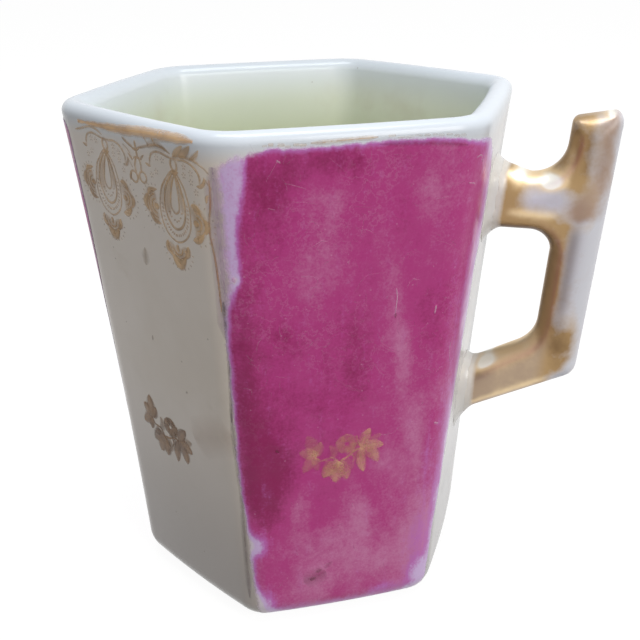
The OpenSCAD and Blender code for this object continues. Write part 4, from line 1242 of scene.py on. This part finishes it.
giltRandom = np.random.default_rng(gilt["seed"])
for k, end in ((4, "Front"), (2, "Back")):
    sets = [(pendant(flames), (s0, gilt["level"] + up), tall, share)
            for s0, up, tall, share, flames in gilt["pendants"]]
    sets.append((trefoil(), (gilt["trefoil"], gilt["level"]), 1.0, 0.75))
    place(strokeMesh("lace" + end, k, sets), painted["giltOnCream"], film=True)
    paintOn("lipBand" + end, k, lipBand(), "giltBand", shoulder=0.5)
    creamSpray = turned(spray(0.85, 0.8, 1.9), gilt["sprayTurn"])
    paintOn("creamSpray" + end, k, creamSpray, "giltSpray", at=gilt["sprayCream"])
for k, end in ((5, "Front"), (1, "Back"), (3, "Left")):
    paintOn("spray" + end, k, spray(0.75, 0.45, 1.75), "giltOnLustre", lustre["lift"],
            at=gilt["sprayLustre"])
    paintOn("lipDashes" + end, k, lipDashes(giltRandom), "giltDashes", gilt["dashLift"], 0.4)
print("gilding: lace and bands on two panels, sprays on five, dashes on three")

# Lines down the corners beside the lustre: an orange thread above on a broad lilac band of painted shade, and a
# purple line of painted shade below that browns to the foot
threadLine = [line([(19.9, 88), (19.55, 84.5), (18.6, 80), (18.8, 75), (18.7, 70), (18.5, 66)], 0.4, 0.75, 60)]
shadeLine = [line([(19.1, 68), (19.0, 66), (18.75, 60), (17.9, 50), (17.3, 45)], 0.8, 0.6, 60)]
lowLine = [line([(17.4, 47), (17.3, 40), (17.3, 30), (16.7, 20), (16.4, 12), (16.2, 6)], 1.1, 0.4, 60)]
upperLine = [line([(20.8, 90), (20.5, 85), (20.2, 80), (19.9, 75), (19.6, 69.5), (19.2, 65), (18.8, 61)],
                  3.2, 0.55, 70)]
for k, end in ((4, "Front"), (2, "Back"), (0, "HandleSide")):
    paintOn("thread" + end, k, threadLine, "threadColour")
    paintOn("upperShade" + end, k, upperLine, "upperShade", shoulder=0.4)
    paintOn("shade" + end, k, shadeLine + lowLine, "shadeColour", shoulder=0.4)


# Short curved scuffs scattered over a panel: each bends by its own amount about its own direction
def scatterScuffs(rng, count, low, high):
    s, z = rng.uniform(-17, 18, count), rng.uniform(low, high, count)
    turn, bend, long = rng.uniform(0, np.pi, count), rng.normal(0, 0.25, count), rng.gamma(2.0, 0.8, count) + 0.2
    dx, dy = np.cos(turn) * long / 2, np.sin(turn) * long / 2
    wide, lay = rng.uniform(0.05, 0.11, count), rng.uniform(0.08, 0.32, count)
    paths = np.stack([np.stack([s - dx, s - dy * bend, s + dx], -1), np.stack([z - dy, z + dx * bend, z + dy], -1)], -1)
    return [line(*scuff, 8) for scuff in zip(paths, wide, lay)]


# Scuffs and stains that are seen: on the front lustre, and on the front cream panel
placedScuffs = [
    line([(8.0, 68), (8.2, 66), (8.0, 63.4)], 0.2, 0.8, 12), line([(15.2, 64), (15.0, 62.4)], 0.3, 0.7, 8),
    line([(16.6, 40.3), (17.6, 39.8)], 0.4, 0.8, 8),
    line([(19.3, 57), (18.8, 54.5), (19.3, 52)], 0.16, 0.6, 14),
    line([(20.6, 88.6), (22.0, 88.8), (22.6, 87.6)], 0.3, 0.6, 12),
    line([(19.4, 84.7), (20.9, 84.4)], 0.25, 0.7, 8), line([(-11.6, 90.8), (-11.0, 90.3)], 0.3, 0.5, 8),
    # A painted highlight: the pale spot at the foot of the lilac strip on the front's left corner
    leaf([(-18.5, 72.4), (-18.2, 71.4)], 0.9, 0.7),
    line([(-6, 76.5), (-4.8, 77.4), (-3.6, 77.2)], 0.14, 0.4, 12),
]
# The last mark is a dark line along the front lustre's top edge on the right
soilMarks = [line([(-7.4, 9.0), (-5.3, 9.7), (-3.2, 10.6)], 3.4, 0.3, 20), leaf([(-6.3, 9.2), (-5.1, 9.6)], 1.4, 0.45),
             leaf([(-5.2, 10.9), (-4.0, 11.3)], 1.3, 0.4), leaf([(-3.5, 11.5), (-2.0, 12.9)], 1.5, 0.2),
             leaf([(-12.3, 39.3), (-11.6, 38.7)], 1.0, 0.55), leaf([(8.1, 63.5), (8.05, 62.5)], 0.7, 0.55),
             line([(4, 92.2), (9, 92.0), (14, 91.6), (18.5, 91.0)], 0.8, 0.3, 40)]
creamMarks = [leaf([(0.2, 69.8), (0.5, 71.5), (0.8, 73.2)], 2.6, 0.34, 20),
              leaf([(-2.0, 54.8), (-1.7, 55.9)], 0.8, 0.4),
              leaf([(5.9, 46.9), (6.5, 47.3)], 0.8, 0.4)]
warmStain = [line([(6.5, 37.6), (12.0, 40.2), (17.0, 42.0)], 7.0, 0.15, 30)]
scuffRandom = np.random.default_rng(gilt["seed"] + 1)
for k, end in ((5, "Front"), (1, "Back"), (3, "Left")):
    marks = [scuff for band in gilt["scuffs"] for scuff in scatterScuffs(scuffRandom, *band)]
    marks += placedScuffs if k == 5 else []
    paintOn("scuffs" + end, k, marks, "scuffColour", lustre["lift"])
paintOn("soilFront", 5, soilMarks, "redSoil", lustre["lift"], 0.3)
paintOn("warmStain", 4, warmStain, "threadColour", shoulder=0.4)
paintOn("soilCream", 4, creamMarks, "soilColour", shoulder=0.3)
print("marks: corner lines, scuffs and stains")

studio = {
    "floor": 0.15, "floorHalf": 3.0, "floorZ": -0.0002, "floorGlow": 0.93, "ambient": 0.37,
    # soft panels of light: place, what it looks at, size, power, colour
    "topPanel": ((0.03, -0.03, 0.74), (0, 0, 0.06), (0.5, 0.26), 2.3, (0.9, 0.95, 1.0)),
    "rightPanel": ((0.75, -0.5, 0.45), (0, 0, 0.05), (0.5, 0.6), 4.5, (1.0, 0.98, 0.95)),
}


# 1 for the camera's rays and for reflections, so that the ground looks white and lights nothing
def seenRays(tree):
    rays = tree.nodes.new("ShaderNodeLightPath").outputs
    mirrored = calc(tree, "MAXIMUM", rays["Is Glossy Ray"], rays["Is Transmission Ray"])
    return calc(tree, "MAXIMUM", rays["Is Camera Ray"], mirrored)


# A flat square that takes the cup's shadow
def makeFloor():
    mesh = bpy.data.meshes.new("studioFloor")
    half, z = studio["floorHalf"], studio["floorZ"]
    mesh.from_pydata([(-half, -half, z), (half, -half, z), (half, half, z), (-half, half, z)], [], [(0, 1, 2, 3)])
    material = bpy.data.materials.new("paleFloor")
    material.use_nodes = True
    tree = material.node_tree
    tree.nodes.clear()
    matte = addNode(tree, "ShaderNodeBsdfDiffuse", Color=(studio["floor"],) * 3 + (1,))
    strength = calc(tree, "MULTIPLY", seenRays(tree), studio["floorGlow"])
    glow = addNode(tree, "ShaderNodeEmission", Color=(1, 1, 1, 1), Strength=strength)
    both = addNode(tree, "ShaderNodeAddShader", i0=matte.outputs[0], i1=glow.outputs[0])
    out = tree.nodes.new("ShaderNodeOutputMaterial")
    tree.links.new(both.outputs[0], out.inputs[0])
    floor = addObject("studioFloor", mesh)
    mesh.materials.append(material)


# White to the camera and in reflections, a soft even light to everything else
def makeWorld():
    world = bpy.data.worlds.new("studioWorld")
    bpy.context.scene.world = world
    world.use_nodes = True
    tree = world.node_tree
    background = tree.nodes["Background"]
    background.inputs["Color"].default_value = (1, 1, 1, 1)
    tree.links.new(spread(tree, seenRays(tree), 0, 1, studio["ambient"], 1.0), background.inputs["Strength"])


# A soft panel of light that looks at a point
def softLight(name, position, target, size, power, colour):
    data = bpy.data.lights.new(name, "AREA")
    data.shape = "RECTANGLE"
    data.size, data.size_y = size
    data.energy = power
    data.color = colour
    lamp = addObject(name, data)
    back = unit(np.array(position, float) - np.array(target, float))
    right = unit(np.cross([0.0, 0.0, 1.0] if abs(back[2]) < 0.99 else [0.0, 1.0, 0.0], back))
    matrix = np.eye(4)
    matrix[:3, :3] = np.stack([right, np.cross(back, right), back], 1)
    matrix[:3, 3] = position
    lamp.matrix_world = Matrix(matrix.tolist())


# Camera at the photograph's viewing angle; aim and roll are small turns away from the cup's middle
shot = {
    "lens": 52.81, "sensor": 36.0, "distance": 0.18977, "azimuth": 17.3505, "elevation": 23.3071, "roll": -0.7532,
    "aim": (0.02, 0.0065), "middle": 0.0475, "nearest": 0.01,
}


def makeCamera():
    az, el, roll = np.radians([shot["azimuth"], shot["elevation"], shot["roll"]])
    back = np.array([np.sin(az) * np.cos(el), -np.cos(az) * np.cos(el), np.sin(el)])
    up = np.array([0.0, 0.0, 1.0])
    right = unit(np.cross(-back, up))
    lookAt = unit(-back + shot["aim"][0] * right + shot["aim"][1] * np.cross(right, -back))
    right = unit(np.cross(lookAt, up))
    rise = np.cross(right, lookAt)
    matrix = np.eye(4)
    matrix[:3, 0] = np.cos(roll) * right + np.sin(roll) * rise
    matrix[:3, 1] = np.cos(roll) * rise - np.sin(roll) * right
    matrix[:3, 2] = -lookAt
    matrix[:3, 3] = np.array([0, 0, shot["middle"]]) + back * shot["distance"]
    data = bpy.data.cameras.new("photoCamera")
    data.sensor_width = shot["sensor"]
    data.lens = shot["lens"]
    data.clip_start = shot["nearest"]
    camera = addObject("photoCamera", data)
    camera.matrix_world = Matrix(matrix.tolist())
    bpy.context.scene.camera = camera


makeFloor()
makeWorld()
for panel in ("topPanel", "rightPanel"):
    softLight(panel, *studio[panel])
makeCamera()
bpy.context.scene.view_settings.view_transform = "Standard"
print("stage: floor, world, two soft lights, camera")
